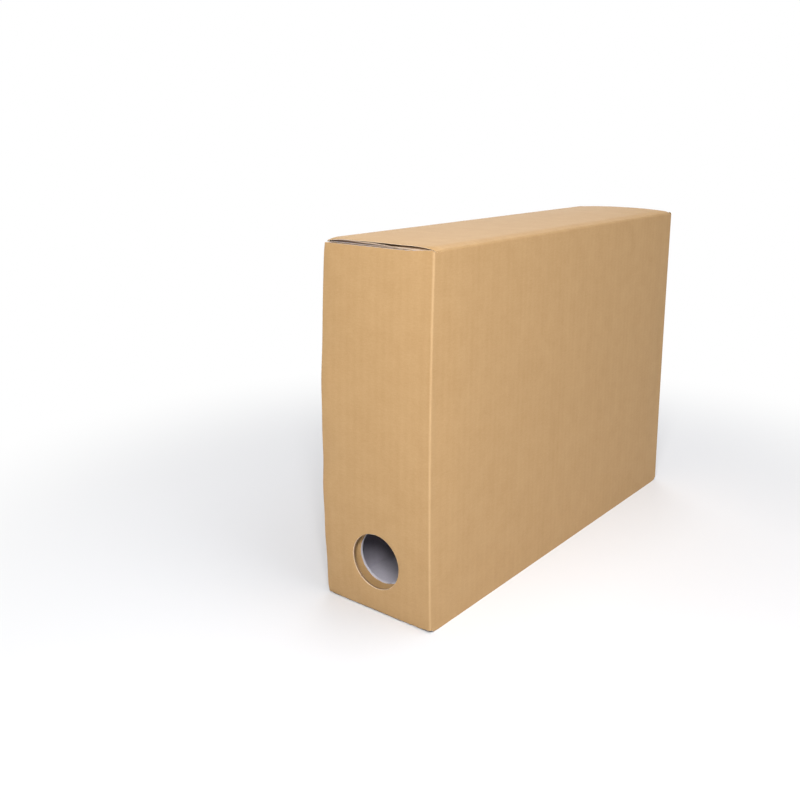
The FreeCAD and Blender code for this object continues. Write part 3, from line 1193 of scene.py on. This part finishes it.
@dataclass
class Panel:
    """One panel of the box: its three papers, cut to the same outline and settled together."""

    name: str
    body: str
    axes: tuple[int, int, int]
    out_sign: int
    sizes: BoxSizes
    blank: Blank
    finishes: Finishes
    settle: Field
    swing: Field | None = None
    measured_on: str = ""
    mirrored: bool = False
    cut: Cut = Cut.NONE
    bends: tuple[Bend, ...] = ()
    raw_edges: tuple[tuple[int, float], ...] = ()
    skew: float = 1.5 * MM
    flute_points: int = 10
    rows: int = 24
    hole_points: int = 128
    hole_rough: float = 0.3 * MM
    hole_waves: tuple[tuple[int, float, int], ...] = ((5, 1.0, 1), (14, 0.7, 2), (29, 0.5, 0))
    hole_inmost: float = -0.4
    hole_clear: float = 0.15 * MM
    hole_crush: float = 0.22
    hole_crush_reach: float = 1.3 * MM
    pinch_about: float = 0.5
    pinch_least: float = 0.4
    warm_edges: bool = False
    hinge: float = 0.0
    crush: float = 0.22
    crush_reach: float = 1.6 * MM
    crush_wander: float = 0.7
    crush_wave: float = 37 * MM
    crush_at_folds: float = 0.0
    fold_reach: float = 7 * MM
    fold_recovery: float = 2.5
    crease_crush: float = 0.35
    slit: float = 0.3 * MM
    # The paler band along each fold: stretched liner and a painted highlight
    crease_width: float = 1.9 * MM
    fold_wear_and_highlight: float = 0.6
    torn_reach: float = 0.6 * MM
    torn_in_hole: float = 0.35

    def measure(self, ply: Ply) -> tuple[Vector, Vector]:
        """Give the lowest and highest corner of a paper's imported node, or of its twin mirrored.

        Args:
            ply: the paper.

        Returns:
            The two corners.
        """
        low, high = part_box(f"{self.measured_on or self.name}_{ply.value}")
        if self.mirrored:
            low.y, high.y = -high.y, -low.y
        return low, high

    def flat_box(self) -> tuple[float, float, float, float]:
        """Give the panel's lowest and highest run and flute coordinates, from its fluting.

        Returns:
            Lowest and highest run, then lowest and highest flute.
        """
        low, high = self.measure(Ply.MEDIUM)
        run, flute, _ = self.axes
        return low[run], high[run], low[flute], high[flute]

    @property
    def inner_face(self) -> float:
        """Where the board's inner face stands on the outward axis."""
        low, high = self.measure(Ply.INNER)
        out = self.axes[2]
        return low[out] if self.out_sign > 0 else high[out]

    def handedness(self) -> int:
        """Tell whether run, flute and outward directions are right-handed, as 1 or -1."""
        run, flute, _ = self.axes
        return self.out_sign if (flute - run) % 3 == 1 else -self.out_sign

    def place(self, flat: Points) -> Points:
        """Put flat points where they lie on the settled box.

        Args:
            flat: coordinates along the run, along the flutes and outwards from the inner face.

        Returns:
            The places in the frame.
        """
        held = self.pinch_about * self.sizes.board
        depth = held + (flat[:, 2] - held) * self.pinch(flat)
        across = flat[:, :2].copy()
        for bend in self.bends:
            sign = math.copysign(1.0, bend.edge)
            past = sign * (flat[:, bend.axis] - bend.edge)
            turned = (past > 0) & (np.abs(flat[:, 1 - bend.axis]) <= bend.reach)
            angle = np.where(turned, past / self.sizes.board, 0.0)
            bent = bend.edge + sign * depth * np.sin(angle)
            across[:, bend.axis] = np.where(turned, bent, across[:, bend.axis])
            depth = np.where(turned, depth * np.cos(angle), depth)
        places = np.zeros_like(flat)
        run, flute, out = self.axes
        places[:, run] = across[:, 0]
        places[:, flute] = across[:, 1]
        places[:, out] = self.inner_face + self.out_sign * depth
        if self.swing is not None:
            places = self.swing(places)
        return self.settle(places)

    def hole_gap(self, flat: Points) -> Points:
        """Measure how far each flat point lies outside the finger hole."""
        reach = np.hypot(flat[:, 0], flat[:, 1] - self.sizes.hole_height)
        return reach - self.sizes.hole_radius

    def pinch(self, flat: Points) -> Points:
        """Thin the board where the die crushed it: at raw edges and round the finger hole.

        Args:
            flat: the points on the flat panel.

        Returns:
            The share of the board's thickness that is left at each point.
        """
        share = np.ones(len(flat))
        for axis, edge in self.raw_edges:
            wander = np.sin(TURN * flat[:, 1 - axis] / self.crush_wave + edge / MM)
            crush = self.crush * (1 + self.crush_wander * (0.5 + 0.5 * wander))
            for bend in self.bends:
                from_fold = abs(bend.edge) - np.abs(flat[:, bend.axis])
                from_fold = np.where(from_fold < 0, self.fold_recovery * from_fold, from_fold)
                crush = crush + self.crush_at_folds * closeness(from_fold, self.fold_reach) / 2
            share -= crush * closeness(flat[:, axis] - edge, self.crush_reach)
        if self.cut is Cut.FINGER_HOLE:
            share -= self.hole_crush * closeness(self.hole_gap(flat), self.hole_crush_reach)
        return np.maximum(share, self.pinch_least)

    def torn(self, flat: Points) -> Points:
        """Give how near the fluting lies to a cut that tore its fibres, from 0 to 1.

        Args:
            flat: the points on the flat panel.

        Returns:
            The nearness for each point.
        """
        wear_and_highlight_share = np.zeros(len(flat))
        for axis, edge in self.raw_edges:
            wear_and_highlight_share = np.maximum(wear_and_highlight_share, closeness(flat[:, axis] - edge, self.torn_reach))
        if self.cut is Cut.FINGER_HOLE:
            wear_and_highlight_share = np.maximum(wear_and_highlight_share, self.torn_in_hole * closeness(self.hole_gap(flat), MM))
        return wear_and_highlight_share

    def wear_and_highlight(self, flat: Points) -> Points:
        """Give the paler band on the outer liner near the panel's creases, stretched paper and a
        painted highlight, from 0 to 1.

        Args:
            flat: the points on the flat panel.

        Returns:
            The band's strength at each point.
        """
        wear_and_highlight_share = np.zeros(len(flat))
        for bend in self.bends:
            line = bend.edge + math.copysign(self.sizes.fold / 2, bend.edge)
            close = closeness(flat[:, bend.axis] - line, self.crease_width)
            wear_and_highlight_share = np.maximum(wear_and_highlight_share, self.fold_wear_and_highlight * close)
        return wear_and_highlight_share

    def outline(self, ply: Ply) -> FlatOutline:
        """Lay out one liner's flat outline, with the strips that go round its creases.

        Args:
            ply: the outer or the inner liner.

        Returns:
            The outline.
        """
        run_low, run_high, flute_low, flute_high = self.flat_box()
        fold = self.sizes.fold if ply is Ply.OUTER else 0.0
        edges = {(bend.axis, bend.edge > 0) for bend in self.bends}
        if (1, True) in edges:
            flute_high += fold
        if (1, False) in edges and self.cut is not Cut.SEAM_NOTCH:
            flute_low -= fold
        if ply is Ply.OUTER and self.hinge < 0:
            run_low = self.hinge
        if ply is Ply.OUTER and self.hinge > 0:
            run_high = self.hinge
        corners = [(run_low, flute_low), (run_high, flute_low)]
        corners += [(run_high, flute_high), (run_low, flute_high)]
        if self.cut is Cut.SEAM_NOTCH:
            corners[1:1] = self.seam_tab(flute_low, ply)
        holes = [self.hole_ring(ply)] if self.cut is Cut.FINGER_HOLE else []
        return FlatOutline(corners, holes)

    def seam_tab(self, flute_low: float, ply: Ply) -> list[tuple[float, float]]:
        """Lay out the edge at the seam: a notch, or in the outer liner the seam fold's strip.

        Args:
            flute_low: where the outline's lower edge runs.
            ply: the outer or the inner liner.

        Returns:
            The corners to put into the lower edge.
        """
        reach = self.sizes.seam_end
        crease = self.sizes.seam_face + self.sizes.board
        if ply is not Ply.OUTER:
            return [(-reach, flute_low), (-reach, crease), (reach, crease), (reach, flute_low)]
        tab, tip = reach - self.slit, crease - self.sizes.fold
        left = [(-reach, flute_low), (-reach, crease), (-tab, crease), (-tab, tip)]
        return left + [(-run, flute) for run, flute in reversed(left)]

    def hole_ring(self, ply: Ply) -> list[tuple[float, float]]:
        """Walk round the finger hole, slightly rough as a die leaves it.

        Args:
            ply: the outer or the inner liner.

        Returns:
            The points in order.
        """
        seed = sum(map(ord, self.name + ply.value)) % 7
        ring = []
        for step in range(self.hole_points):
            angle = TURN * step / self.hole_points
            rough = sum(
                size * math.sin(turns * angle + seeds * seed)
                for turns, size, seeds in self.hole_waves
            )
            rough = max(self.hole_inmost, rough)
            radius = self.sizes.hole_radius + self.hole_rough * rough / 2
            across, up = radius * math.cos(angle), radius * math.sin(angle)
            ring.append((across, self.sizes.hole_height + up))
        return ring

    def papers(self, ply: Ply) -> tuple[bpy.types.Material, bpy.types.Material]:
        """Give the paper of one liner's faces and that of its cut edges.

        Args:
            ply: the outer or the inner liner.

        Returns:
            The two materials.
        """
        finishes = self.finishes
        if ply is Ply.INNER:
            return finishes.grey, finishes.kraft_edge if self.warm_edges else finishes.grey_edge
        printed = self.name == "front_outer_flap"
        return finishes.printed if printed else finishes.kraft, finishes.kraft_edge

    def liner(self, ply: Ply) -> bpy.types.Object:
        """Make one liner, a closed thin solid.

        Args:
            ply: the outer or the inner liner.

        Returns:
            The piece.
        """
        outer = ply is Ply.OUTER
        low = self.sizes.board - self.sizes.liner if outer else 0.0
        high = self.sizes.board if outer else self.sizes.liner
        points, triangles, rim = self.outline(ply).triangles()
        depths = (np.full(len(points), depth) for depth in (low, high))
        flat = np.concatenate([np.column_stack([points, depth]) for depth in depths])
        # The outer liner's paler band at folds: stretched paper and a painted highlight
        wear_and_highlight_share = self.wear_and_highlight(flat) if outer else np.zeros(len(flat))
        return thin_solid(
            f"{self.name}_{ply.value}_sheet",
            self.place(flat),
            triangles,
            rim,
            self.handedness(),
            self.papers(ply),
            {SHEET: self.blank.lay(self.name, flat), CREASE: wear_and_highlight_share},
        )

    def fluting(self, tree: FlutingTree) -> bpy.types.Object:
        """Make the fluted paper between the liners.

        Args:
            tree: the tree that waves and cuts it.

        Returns:
            The piece.
        """
        run_low, run_high, flute_low, flute_high = self.flat_box()
        run, depth = run_high - run_low, flute_high - flute_low
        middle = Vector((run_low + run_high, flute_low + flute_high, self.sizes.board)) / 2
        flutes = max(1, round(run / self.sizes.pitch))
        cut_middle, cut_size = self.fluting_cut()
        mesh = tree.bake(
            {
                "Run": run,
                "Flute length": depth,
                "Pitch": run / flutes,
                "Wave height": self.sizes.board - 2 * self.sizes.liner,
                "Paper": self.sizes.medium,
                "Skew": self.skew,
                "Points along run": flutes * self.flute_points + 1,
                "Points along flute": self.rows,
                "Cut middle": cut_middle - middle,
                "Cut size": cut_size,
                "Material": self.finishes.medium,
            }
        )
        flat = np.zeros(len(mesh.vertices) * 3)
        mesh.vertices.foreach_get("co", flat)
        flat = flat.reshape(-1, 3) + np.array(middle)
        for bend in self.bends:
            close = closeness(flat[:, bend.axis] - bend.edge, self.crease_width)
            flat[:, 2] *= 1 - self.crease_crush * close
        mesh.vertices.foreach_set("co", self.place(flat).astype(np.float32).ravel())
        if self.handedness() < 0:
            mesh.flip_normals()
        put_attribute(mesh, SHEET, self.blank.lay(self.name, flat))
        put_attribute(mesh, CREASE, self.torn(flat))
        finish_shading(mesh)
        return add_object(f"{self.name}_fluted_paper", mesh)

    def fluting_cut(self) -> tuple[Vector, Vector]:
        """Give the middle and the size of what is cut out of the fluting, on the flat panel.

        Returns:
            The middle and the size.
        """
        through = 20 * MM
        if self.cut is Cut.FINGER_HOLE:
            radius = self.sizes.hole_radius + self.hole_clear
            return (
                Vector((0.0, self.sizes.hole_height, self.sizes.board / 2)),
                Vector((radius, radius, through)),
            )
        crease = self.sizes.seam_face + self.sizes.board
        return (
            Vector((0.0, crease - through / 2, self.sizes.board / 2)),
            Vector((2 * self.sizes.seam_end, through, through)),
        )

    def build(self, trees: dict[Cut, FlutingTree]) -> None:
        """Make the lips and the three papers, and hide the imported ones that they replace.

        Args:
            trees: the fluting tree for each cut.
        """
        edges = [edge for axis, edge in self.raw_edges if axis == 0]
        for number, edge in enumerate(edges, start=1):
            CrushedLip(number, self, edge).build()
        for ply in Ply:
            piece = self.fluting(trees[self.cut]) if ply is Ply.MEDIUM else self.liner(ply)
            carry(piece, self.body, ply)
            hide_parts(f"{self.name}_{ply.value}")


@dataclass(frozen=True)
class CrushedLip:
    """The medium's lip at a raw edge cut along the flutes, where the die folded it over."""

    number: int
    panel: Panel
    edge: float
    height: float = 0.75 * MM
    height_swing: float = 0.25
    height_wave: float = 5.3 * MM
    length: float = 118 * MM
    phase: float = 1.3
    gain: float = 1.3
    ripple: float = 0.25
    ripple_wave: float = 3.1 * MM
    reach: float = 0.35 * MM
    pressed: float = 0.05 * MM
    wear: float = 0.45
    spacing: float = 1.5 * MM

    def flat(self, flute: Points, share: Points, depth: float) -> Points:
        """Lay out points of the lip on the flat panel.

        Args:
            flute: their places along the edge.
            share: their shares of the lip's height.
            depth: how far they lie inside the edge.

        Returns:
            The flat points.
        """
        swing = np.sin(TURN * flute / self.length + self.phase + self.edge / MM)
        swing = np.clip(self.gain * swing + self.ripple * np.sin(flute / self.ripple_wave), -1, 1)
        half = self.panel.sizes.board / 2
        middle = half + (half - (self.panel.sizes.liner + self.height / 2)) * swing
        wave = self.height_swing * np.sin(flute / self.height_wave)
        height = self.height * (1 - self.height_swing + wave)
        run = self.edge - math.copysign(1.0, self.edge) * (depth + self.reach * share)
        return np.column_stack([run, flute, middle + (share - 0.5) * height])

    def surface(self, flute: Points, share: Points, depth: float) -> Points:
        """Put points of the lip where they lie on the settled box."""
        return self.panel.place(self.flat(flute, share, depth))

    def sheet(self, flute: Points, share: Points, depth: float) -> Points:
        """Find where points of the lip lie on the blank."""
        return self.panel.blank.lay(self.panel.name, self.flat(flute, share, depth))

    def wear_and_highlight_share(self, flute: Points) -> Points:
        """Give how far the lip is torn, the same all along."""
        return np.full_like(flute, self.wear)

    def build(self) -> None:
        """Make the lip and let it ride on its panel's body."""
        _, _, low, high = self.panel.flat_box()
        medium = self.panel.finishes.medium
        piece = grid_solid(
            f"{self.panel.name}_crushed_lip_{self.number}",
            self.surface,
            (np.linspace(low, high, 1 + int((high - low) / self.spacing)), np.linspace(0, 1, 3)),
            (self.panel.sizes.medium, self.pressed),
            (medium, medium),
            self.sheet,
            self.wear_and_highlight_share,
            round(math.copysign(1.0, self.edge)) * self.panel.handedness(),
        )
        carry(piece, self.panel.body, Ply.MEDIUM)


@dataclass(frozen=True)
class TornRim:
    """Paper that the punch dragged over the wall of a finger hole, ragged at its far side."""

    label: str
    panel: Panel
    material: bpy.types.Material
    ply: Ply
    start: float
    reach: float
    ragged: float
    recess: float = 0.0
    wear_and_highlight_share: float = 0.5
    thickness: float = 0.22 * MM
    thinned: float = 0.4
    sunk: float = 0.1 * MM
    least: float = 0.15 * MM
    steps: int = 180
    waves: tuple[tuple[int, float], ...] = ((5, 1.0), (13, 2.5), (31, 0.3))

    def ring(self, inset: float, depths: Points, angles: Points) -> Points:
        """Walk round the hole, inside its wall, at a depth for each angle.

        Args:
            inset: how far inside the wall.
            depths: the depths.
            angles: the angles.

        Returns:
            The flat points.
        """
        sizes = self.panel.sizes
        radius = sizes.hole_radius + self.recess - inset
        up = sizes.hole_height + radius * np.sin(angles)
        return np.column_stack([radius * np.cos(angles), up, depths])

    def build(self) -> None:
        """Make the rim and let it ride on its flap."""
        angles = np.linspace(0, TURN, self.steps, endpoint=False)
        draw = np.random.default_rng(len(self.panel.name))
        waves = sum(np.sin(turns * angles + phase) for turns, phase in self.waves)
        rough = waves / len(self.waves) + draw.uniform(-0.5, 0.5, self.steps)
        ends = self.start + self.reach + self.ragged * rough
        ends = np.clip(ends, self.start + self.least, self.panel.sizes.board + self.sunk)
        starts = np.full(self.steps, self.start)
        rings = (
            self.ring(-self.sunk, starts, angles),
            self.ring(self.thickness, starts, angles),
            self.ring(self.thinned * self.thickness, ends, angles),
            self.ring(-self.sunk, ends, angles),
        )
        flat = np.concatenate(rings)
        numbers = np.arange(len(flat)).reshape(len(rings), self.steps)
        following = np.roll(numbers, -1, axis=1)
        faces = []
        for side in range(len(rings)):
            other = (side + 1) % len(rings)
            corners = (numbers[side], following[side], following[other], numbers[other])
            faces += np.column_stack(corners).tolist()
        if self.panel.handedness() > 0:
            faces = [face[::-1] for face in faces]
        attributes = {
            SHEET: self.panel.blank.lay(self.panel.name, flat),
            CREASE: np.full(len(flat), self.wear_and_highlight_share),
        }
        name, places = f"{self.panel.name}_{self.label}", self.panel.place(flat)
        piece = make_piece(name, places, faces, None, [self.material], attributes)
        carry(piece, self.panel.body, self.ply)


@dataclass(frozen=True)
class HingeCrease:
    """The outer liner where it goes round the crease that an end flap hangs on."""

    name: str
    flap: str
    middle: tuple[float, float]
    side: int
    end: int
    low: float
    high: float
    sizes: BoxSizes
    blank: Blank
    finishes: Finishes
    start_settle: Field
    end_settle: Field
    opening: float = QUARTER
    tightness: float = 5.0
    # How narrowly the crease's paler band, stretched liner and a painted highlight, peaks at its
    # middle
    wear_and_highlight_power: int = 6
    steps: int = 20
    rows: int = 60

    def surface(self, angle: Points, up: Points, radius: float) -> Points:
        """Place points of the crease by their angle, height and radius.

        The board folds over a scored line, so its corner is tighter than a circle.

        Args:
            angle: the points' angles.
            up: their heights.
            radius: their radius.

        Returns:
            The places on the settled box.
        """
        across, along = self.middle
        power = self.tightness
        cosine, sine = np.abs(np.cos(angle)), np.abs(np.sin(angle))
        reach = radius * (cosine**power + sine**power) ** (-1 / power)
        places = np.column_stack(
            [
                across + self.side * reach * np.cos(angle),
                along + self.end * reach * np.sin(angle),
                up,
            ]
        )
        share = smooth(angle / self.opening)[:, None]
        return (1 - share) * self.start_settle(places) + share * self.end_settle(places)

    def sheet(self, angle: Points, up: Points, radius: float) -> Points:
        """Find where points of the crease lie on the blank.

        Args:
            angle: the points' angles.
            up: their heights.
            radius: their radius.

        Returns:
            The blank's coordinates.
        """
        run = self.end * (abs(self.middle[1]) + angle * self.sizes.board)
        flat = np.column_stack([run, up, np.full(len(up), radius)])
        return self.blank.lay("left_side" if self.side < 0 else "right_side", flat)

    def wear_and_highlight_share(self, angle: Points) -> Points:
        """Give the paler band over the crease, stretched liner and a painted highlight, most at its
        middle.
        """
        return np.sin(math.pi * np.clip(angle / self.opening, 0, 1)) ** self.wear_and_highlight_power

    def build(self) -> None:
        """Make the crease and log it."""
        board = self.sizes.board
        piece = grid_solid(
            self.name,
            self.surface,
            (
                np.linspace(0, self.opening, self.steps + 1),
                np.linspace(self.low, self.high, self.rows),
            ),
            (board - self.sizes.liner, board),
            (self.finishes.kraft, self.finishes.kraft_edge),
            self.sheet,
            self.wear_and_highlight_share,
            self.side * self.end,
        )
        across, along = self.middle
        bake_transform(piece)
        report(piece)


@dataclass(frozen=True)
class Sleeve:
    """The closed sleeve: two sides, the top, the bottom and the seam glued inside the left side."""

    sizes: BoxSizes
    blank: Blank
    finishes: Finishes
    settling: Settling
    top_skew: float = 3.4 * MM
    seam_clear: float = 0.1 * MM

    def panel(self, name: str, out_axis: int, out_sign: int, **more: object) -> Panel:
        """Make one panel whose flutes run from one long fold to the next.

        Args:
            name: the panel's name.
            out_axis: the axis that it faces along.
            out_sign: 1 or -1, which way it faces.
            more: the panel's other fields.

        Returns:
            The panel.
        """
        axes = (1, 2, 0) if out_axis == 0 else (1, 0, 2)
        return Panel(
            name, SLEEVE, axes, out_sign, self.sizes, self.blank, self.finishes,
            self.settling.sleeve, **more,
        )

    def build(self, trees: dict[Cut, FlutingTree]) -> None:
        """Make the four panels and finish the seam.

        Args:
            trees: the fluting tree for each cut.
        """
        inside = self.sizes.inside
        seam_edge = self.sizes.seam_face + self.sizes.board
        seam = Bend(1, seam_edge, self.sizes.seam_end - self.seam_clear)
        both = (Bend(1, -inside), Bend(1, inside))
        ends = ((0, -self.sizes.side_end), (0, self.sizes.side_end))
        for panel in (
            self.panel("left_side", 0, -1),
            self.panel("right_side", 0, 1),
            self.panel(
                "top", 2, 1, bends=both, skew=self.top_skew, rows=12, raw_edges=ends,
                pinch_about=0.0, crush=0.05, crush_at_folds=0.45, warm_edges=True,
            ),
            self.panel("bottom", 2, -1, bends=(both[1], seam), cut=Cut.SEAM_NOTCH, rows=12),
        ):
            panel.build(trees)
        self.finish_seam()

    def finish_seam(self) -> None:
        """Put paper and glue on the seam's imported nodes, which keep their shapes."""
        papers = {
            "seam_flap_outer_liner": self.finishes.kraft_seam,
            "seam_flap_fluting": self.finishes.medium_seam,
            "seam_flap_inner_liner": self.finishes.grey_seam,
            "seam_glue": self.finishes.glue,
        }
        for name, material in papers.items():
            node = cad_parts[name]
            for place in node.material_slots:
                place.material = material
            log.info("%s: %s", name, material.name)


@dataclass(frozen=True)
class EndFlaps:
    """The outer and the inner flap of one end, and the creases that they hang on."""

    label: str
    end: int
    sizes: BoxSizes
    blank: Blank
    finishes: Finishes
    settling: Settling
    ajar: float = 0.0
    crease_past: float = 0.4 * MM

    def swing(self, places: Points) -> Points:
        """Turn an inner flap inwards about its crease.

        Args:
            places: one row of X, Y and Z for each point.

        Returns:
            The turned points.
        """
        turn = self.end * self.ajar
        hinge = np.array([self.sizes.inside, self.end * self.sizes.right_end])
        across, along = (places[:, :2] - hinge).T
        turned = places.copy()
        turned[:, 0] = hinge[0] + across * math.cos(turn) - along * math.sin(turn)
        turned[:, 1] = hinge[1] + across * math.sin(turn) + along * math.cos(turn)
        return turned

    def build(self, trees: dict[Cut, FlutingTree]) -> None:
        """Make both flaps, the rims of their holes and both creases.

        Args:
            trees: the fluting tree for each cut.
        """
        parts = (self.sizes, self.blank, self.finishes)
        inside, axes = self.sizes.inside, (0, 2, 1)
        outer, inner = f"{self.label}_outer_flap", f"{self.label}_inner_flap"
        outer_low, outer_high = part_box(f"{outer}_fluting")
        inner_low, inner_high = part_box("front_inner_flap_fluting")
        outer_panel = Panel(
            outer, outer, axes, self.end, *parts, self.settling.outer_flap,
            hinge=-inside, warm_edges=True, cut=Cut.FINGER_HOLE,
            raw_edges=((0, outer_high.x), (1, outer_low.z), (1, outer_high.z)),
        )
        inner_panel = Panel(
            inner, inner, axes, self.end, *parts, self.settling.inner_flap,
            hinge=inside, swing=self.swing, cut=Cut.FINGER_HOLE,
            measured_on="front_inner_flap", mirrored=self.end > 0,
            raw_edges=((0, inner_low.x), (1, inner_low.z), (1, inner_high.z)),
        )
        outer_panel.build(trees)
        inner_panel.build(trees)
        # The punch leaves kraft and crushed medium in the outer hole, and grey paper in the inner.
        # The medium ring, kept without torn paleness, also closes the outer hole's open flutes: a
        # dark sheet put where their shade is.
        # The three sizes are where the rim starts in the board, its reach and its raggedness, in mm
        paper = self.finishes
        for label, panel, material, ply, reaches, more in (
            ("rim", outer_panel, paper.kraft_edge, Ply.OUTER, (2.2, 0.6, 0.35), {}),
            (
                "fluting", outer_panel, paper.medium, Ply.MEDIUM, (0.15, 2.1, 0.1),
                {"recess": 0.1 * MM, "wear_and_highlight_share": 0.0},
            ),
            ("rim", inner_panel, paper.grey_edge, Ply.INNER, (0.1, 2.3, 0.35), {}),
        ):
            sizes = (reach * MM for reach in reaches)
            TornRim(f"finger_hole_{label}", panel, material, ply, *sizes, **more).build()
        sleeve = self.settling.sleeve
        HingeCrease(
            f"{outer}_crease", outer, (-inside, self.end * self.sizes.side_end), -1, self.end,
            outer_low.z, outer_high.z + self.crease_past, *parts, sleeve, self.settling.outer_flap,
        ).build()
        HingeCrease(
            f"{inner}_crease", inner, (inside, self.end * self.sizes.right_end), 1, self.end,
            inner_low.z, inner_high.z, *parts, sleeve, self.settling.inner_flap,
            opening=QUARTER + self.ajar,
        ).build()


def label_frames(sizes: BoxSizes, blank: Blank) -> tuple[RoundedFrame, ...]:
    """Lay out what is printed on the front end: two empty label frames and two short lines.

    Args:
        sizes: the folded box's sizes.
        blank: the flat sheet that the print lies on.

    Returns:
        The frames and strokes on the blank.
    """
    # Millimetres from the hinge fold to the middle, height of the middle, half sizes, corner
    shapes = (
        (46.0, 172.9, 40.0, 14.7, 3.0),
        (46.9, 123.0, 40.4, 27.8, 6.5),
        (38.8, 200.4, 13.0, 0.0, 0.0),
        (73.3, 200.4, 12.1, 0.0, 0.0),
    )
    frames = []
    for from_fold, height, half_run, half_flute, corner in shapes:
        flat = np.array([[from_fold * MM - sizes.half_width, height * MM, 0.0]])
        laid = blank.lay("front_outer_flap", flat)[0]
        half = (half_run * MM, half_flute * MM)
        frames.append(RoundedFrame((laid[0], laid[1]), half, corner * MM))
    return tuple(frames)


class LampKind(Enum):
    """A diffuser near the object, or a wide soft light from far away."""

    DIFFUSER = "AREA"
    WIDE = "SUN"


@dataclass(frozen=True)
class SoftLight:
    """One soft studio lamp, aimed at the object.

    Its size is the side of a diffuser in metres, or the angle that a wide light fills in degrees.
    """

    name: str
    kind: LampKind
    place: tuple[float, float, float]
    size: float
    power: float
    aim: tuple[float, float, float] = (0.0, 0.0, 0.12)

    def build(self) -> None:
        """Hang the lamp."""
        lamp = bpy.data.lights.new(self.name, self.kind.value)
        lamp.energy = self.power
        if self.kind is LampKind.WIDE:
            lamp.angle = math.radians(self.size)
        else:
            lamp.size = self.size
        holder = add_object(self.name, lamp)
        holder.visible_camera = False
        holder.location = self.place
        towards = Vector(self.aim) - Vector(self.place)
        holder.rotation_euler = towards.to_track_quat("-Z", "Y").to_euler()


@dataclass(frozen=True)
class Studio:
    """The floor, the surroundings, the lamps and the camera of the photograph."""

    eye: tuple[float, float, float] = (-0.3976, 0.6638, 0.343)
    yaw: float = 38.53
    pitch: float = -11.51
    roll: float = 0.22
    sensor: float = 36.0
    lens: float = 41.67
    shift: float = -0.1
    ambient: float = 0.02
    floor_size: float = 60.0
    near_floor: str = "DEDFE2"
    near_reach: tuple[float, float] = (0.2, 0.6)
    lamps: tuple[SoftLight, ...] = (
        SoftLight("overhead", LampKind.WIDE, (-0.3, -0.2, 1.5), 60.0, 1.8),
        SoftLight("beside_camera", LampKind.DIFFUSER, (-0.47, 0.82, 0.68), 0.28, 11.0),
        SoftLight("at_the_side", LampKind.DIFFUSER, (-1.0, 0.1, 0.7), 0.7, 2.0),
        SoftLight("behind", LampKind.DIFFUSER, (1.0, -1.25, 0.75), 1.1, 9.2),
    )

    def build(self) -> None:
        """Set up the studio."""
        self.lay_floor()
        self.light_surroundings()
        for lamp in self.lamps:
            lamp.build()
        self.set_camera()

    def lay_floor(self) -> None:
        """Lay a plain pale floor that keeps the object's shadow."""
        half = self.floor_size / 2
        mesh = bpy.data.meshes.new("studio_floor")
        corners = [(-half, -half, 0.0), (half, -half, 0.0), (half, half, 0.0), (-half, half, 0.0)]
        mesh.from_pydata(corners, [], [(0, 1, 2, 3)])
        material = bpy.data.materials.new("Matt white studio floor")
        nodes = Nodes.emptied(material)
        here = {0: nodes.add("ShaderNodeTexCoord").outputs["Object"]}
        reach = nodes.add("ShaderNodeVectorMath", here, operation="LENGTH").outputs["Value"]
        # The lamps stand near the object, so the floor far away is made as white as the world
        far = nodes.ramp(reach, self.near_reach, (0.0, 1.0), interpolation_type="SMOOTHSTEP")
        white = {"Color": linear(WHITE), "Strength": 1.0}
        values = {
            0: nodes.maths("MULTIPLY", far, self.seen_directly(nodes)),
            1: nodes.add("ShaderNodeBsdfDiffuse", {"Color": linear(self.near_floor)}).outputs[0],
            2: nodes.add("ShaderNodeEmission", white).outputs[0],
        }
        mixed = nodes.add("ShaderNodeMixShader", values)
        nodes.add("ShaderNodeOutputMaterial", {"Surface": mixed.outputs[0]})
        mesh.materials.append(material)
        add_object("studio_floor", mesh)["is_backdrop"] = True

    @staticmethod
    def seen_directly(nodes: Nodes) -> Socket:
        """Give 1 to the camera and to gloss, and 0 to the light that falls on the object."""
        path = nodes.add("ShaderNodeLightPath").outputs
        return nodes.maths("MAXIMUM", path["Is Camera Ray"], path["Is Glossy Ray"])

    def light_surroundings(self) -> None:
        """Make the surroundings white to the camera, and a soft fill elsewhere."""
        world = bpy.data.worlds.new("White studio")
        nodes = Nodes.emptied(world)
        values = {0: self.seen_directly(nodes)}
        for slot, strength in ((1, self.ambient), (2, 1.0)):
            light = {"Color": linear(WHITE), "Strength": strength}
            values[slot] = nodes.add("ShaderNodeBackground", light).outputs[0]
        mixed = nodes.add("ShaderNodeMixShader", values)
        nodes.add("ShaderNodeOutputWorld", {"Surface": mixed.outputs[0]})
        bpy.context.scene.world = world

    def set_camera(self) -> None:
        """Put the camera where the photograph was taken from."""
        data = bpy.data.cameras.new("photo_camera")
        data.sensor_width = self.sensor
        data.lens = self.lens
        data.shift_y = self.shift
        camera = add_object("photo_camera", data)
        yaw, pitch = math.radians(self.yaw), math.radians(self.pitch)
        ahead = Vector(
            (math.sin(yaw) * math.cos(pitch), -math.cos(yaw) * math.cos(pitch), math.sin(pitch))
        )
        turn = ahead.to_track_quat("-Z", "Y") @ Quaternion((0, 0, 1), math.radians(self.roll))
        camera.rotation_euler = turn.to_euler()
        camera.location = self.eye
        bpy.context.scene.camera = camera
        bpy.context.scene.view_settings.view_transform = "Standard"


def main() -> None:
    """Build, dress and light the box file."""
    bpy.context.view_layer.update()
    sizes = BoxSizes.measured()
    blank = Blank(sizes)
    finishes = Finishes(label_frames(sizes, blank))
    settling = Settling(sizes)
    trees = {cut: FlutingTree(cut) for cut in Cut}
    Sleeve(sizes, blank, finishes, settling).build(trees)
    EndFlaps("front", -1, sizes, blank, finishes, settling).build(trees)
    EndFlaps("rear", 1, sizes, blank, finishes, settling, ajar=math.radians(REAR_AJAR)).build(trees)
    Studio().build()


if __name__ == "__main__":
    logging.basicConfig(level=logging.INFO, format="%(message)s")
    main()
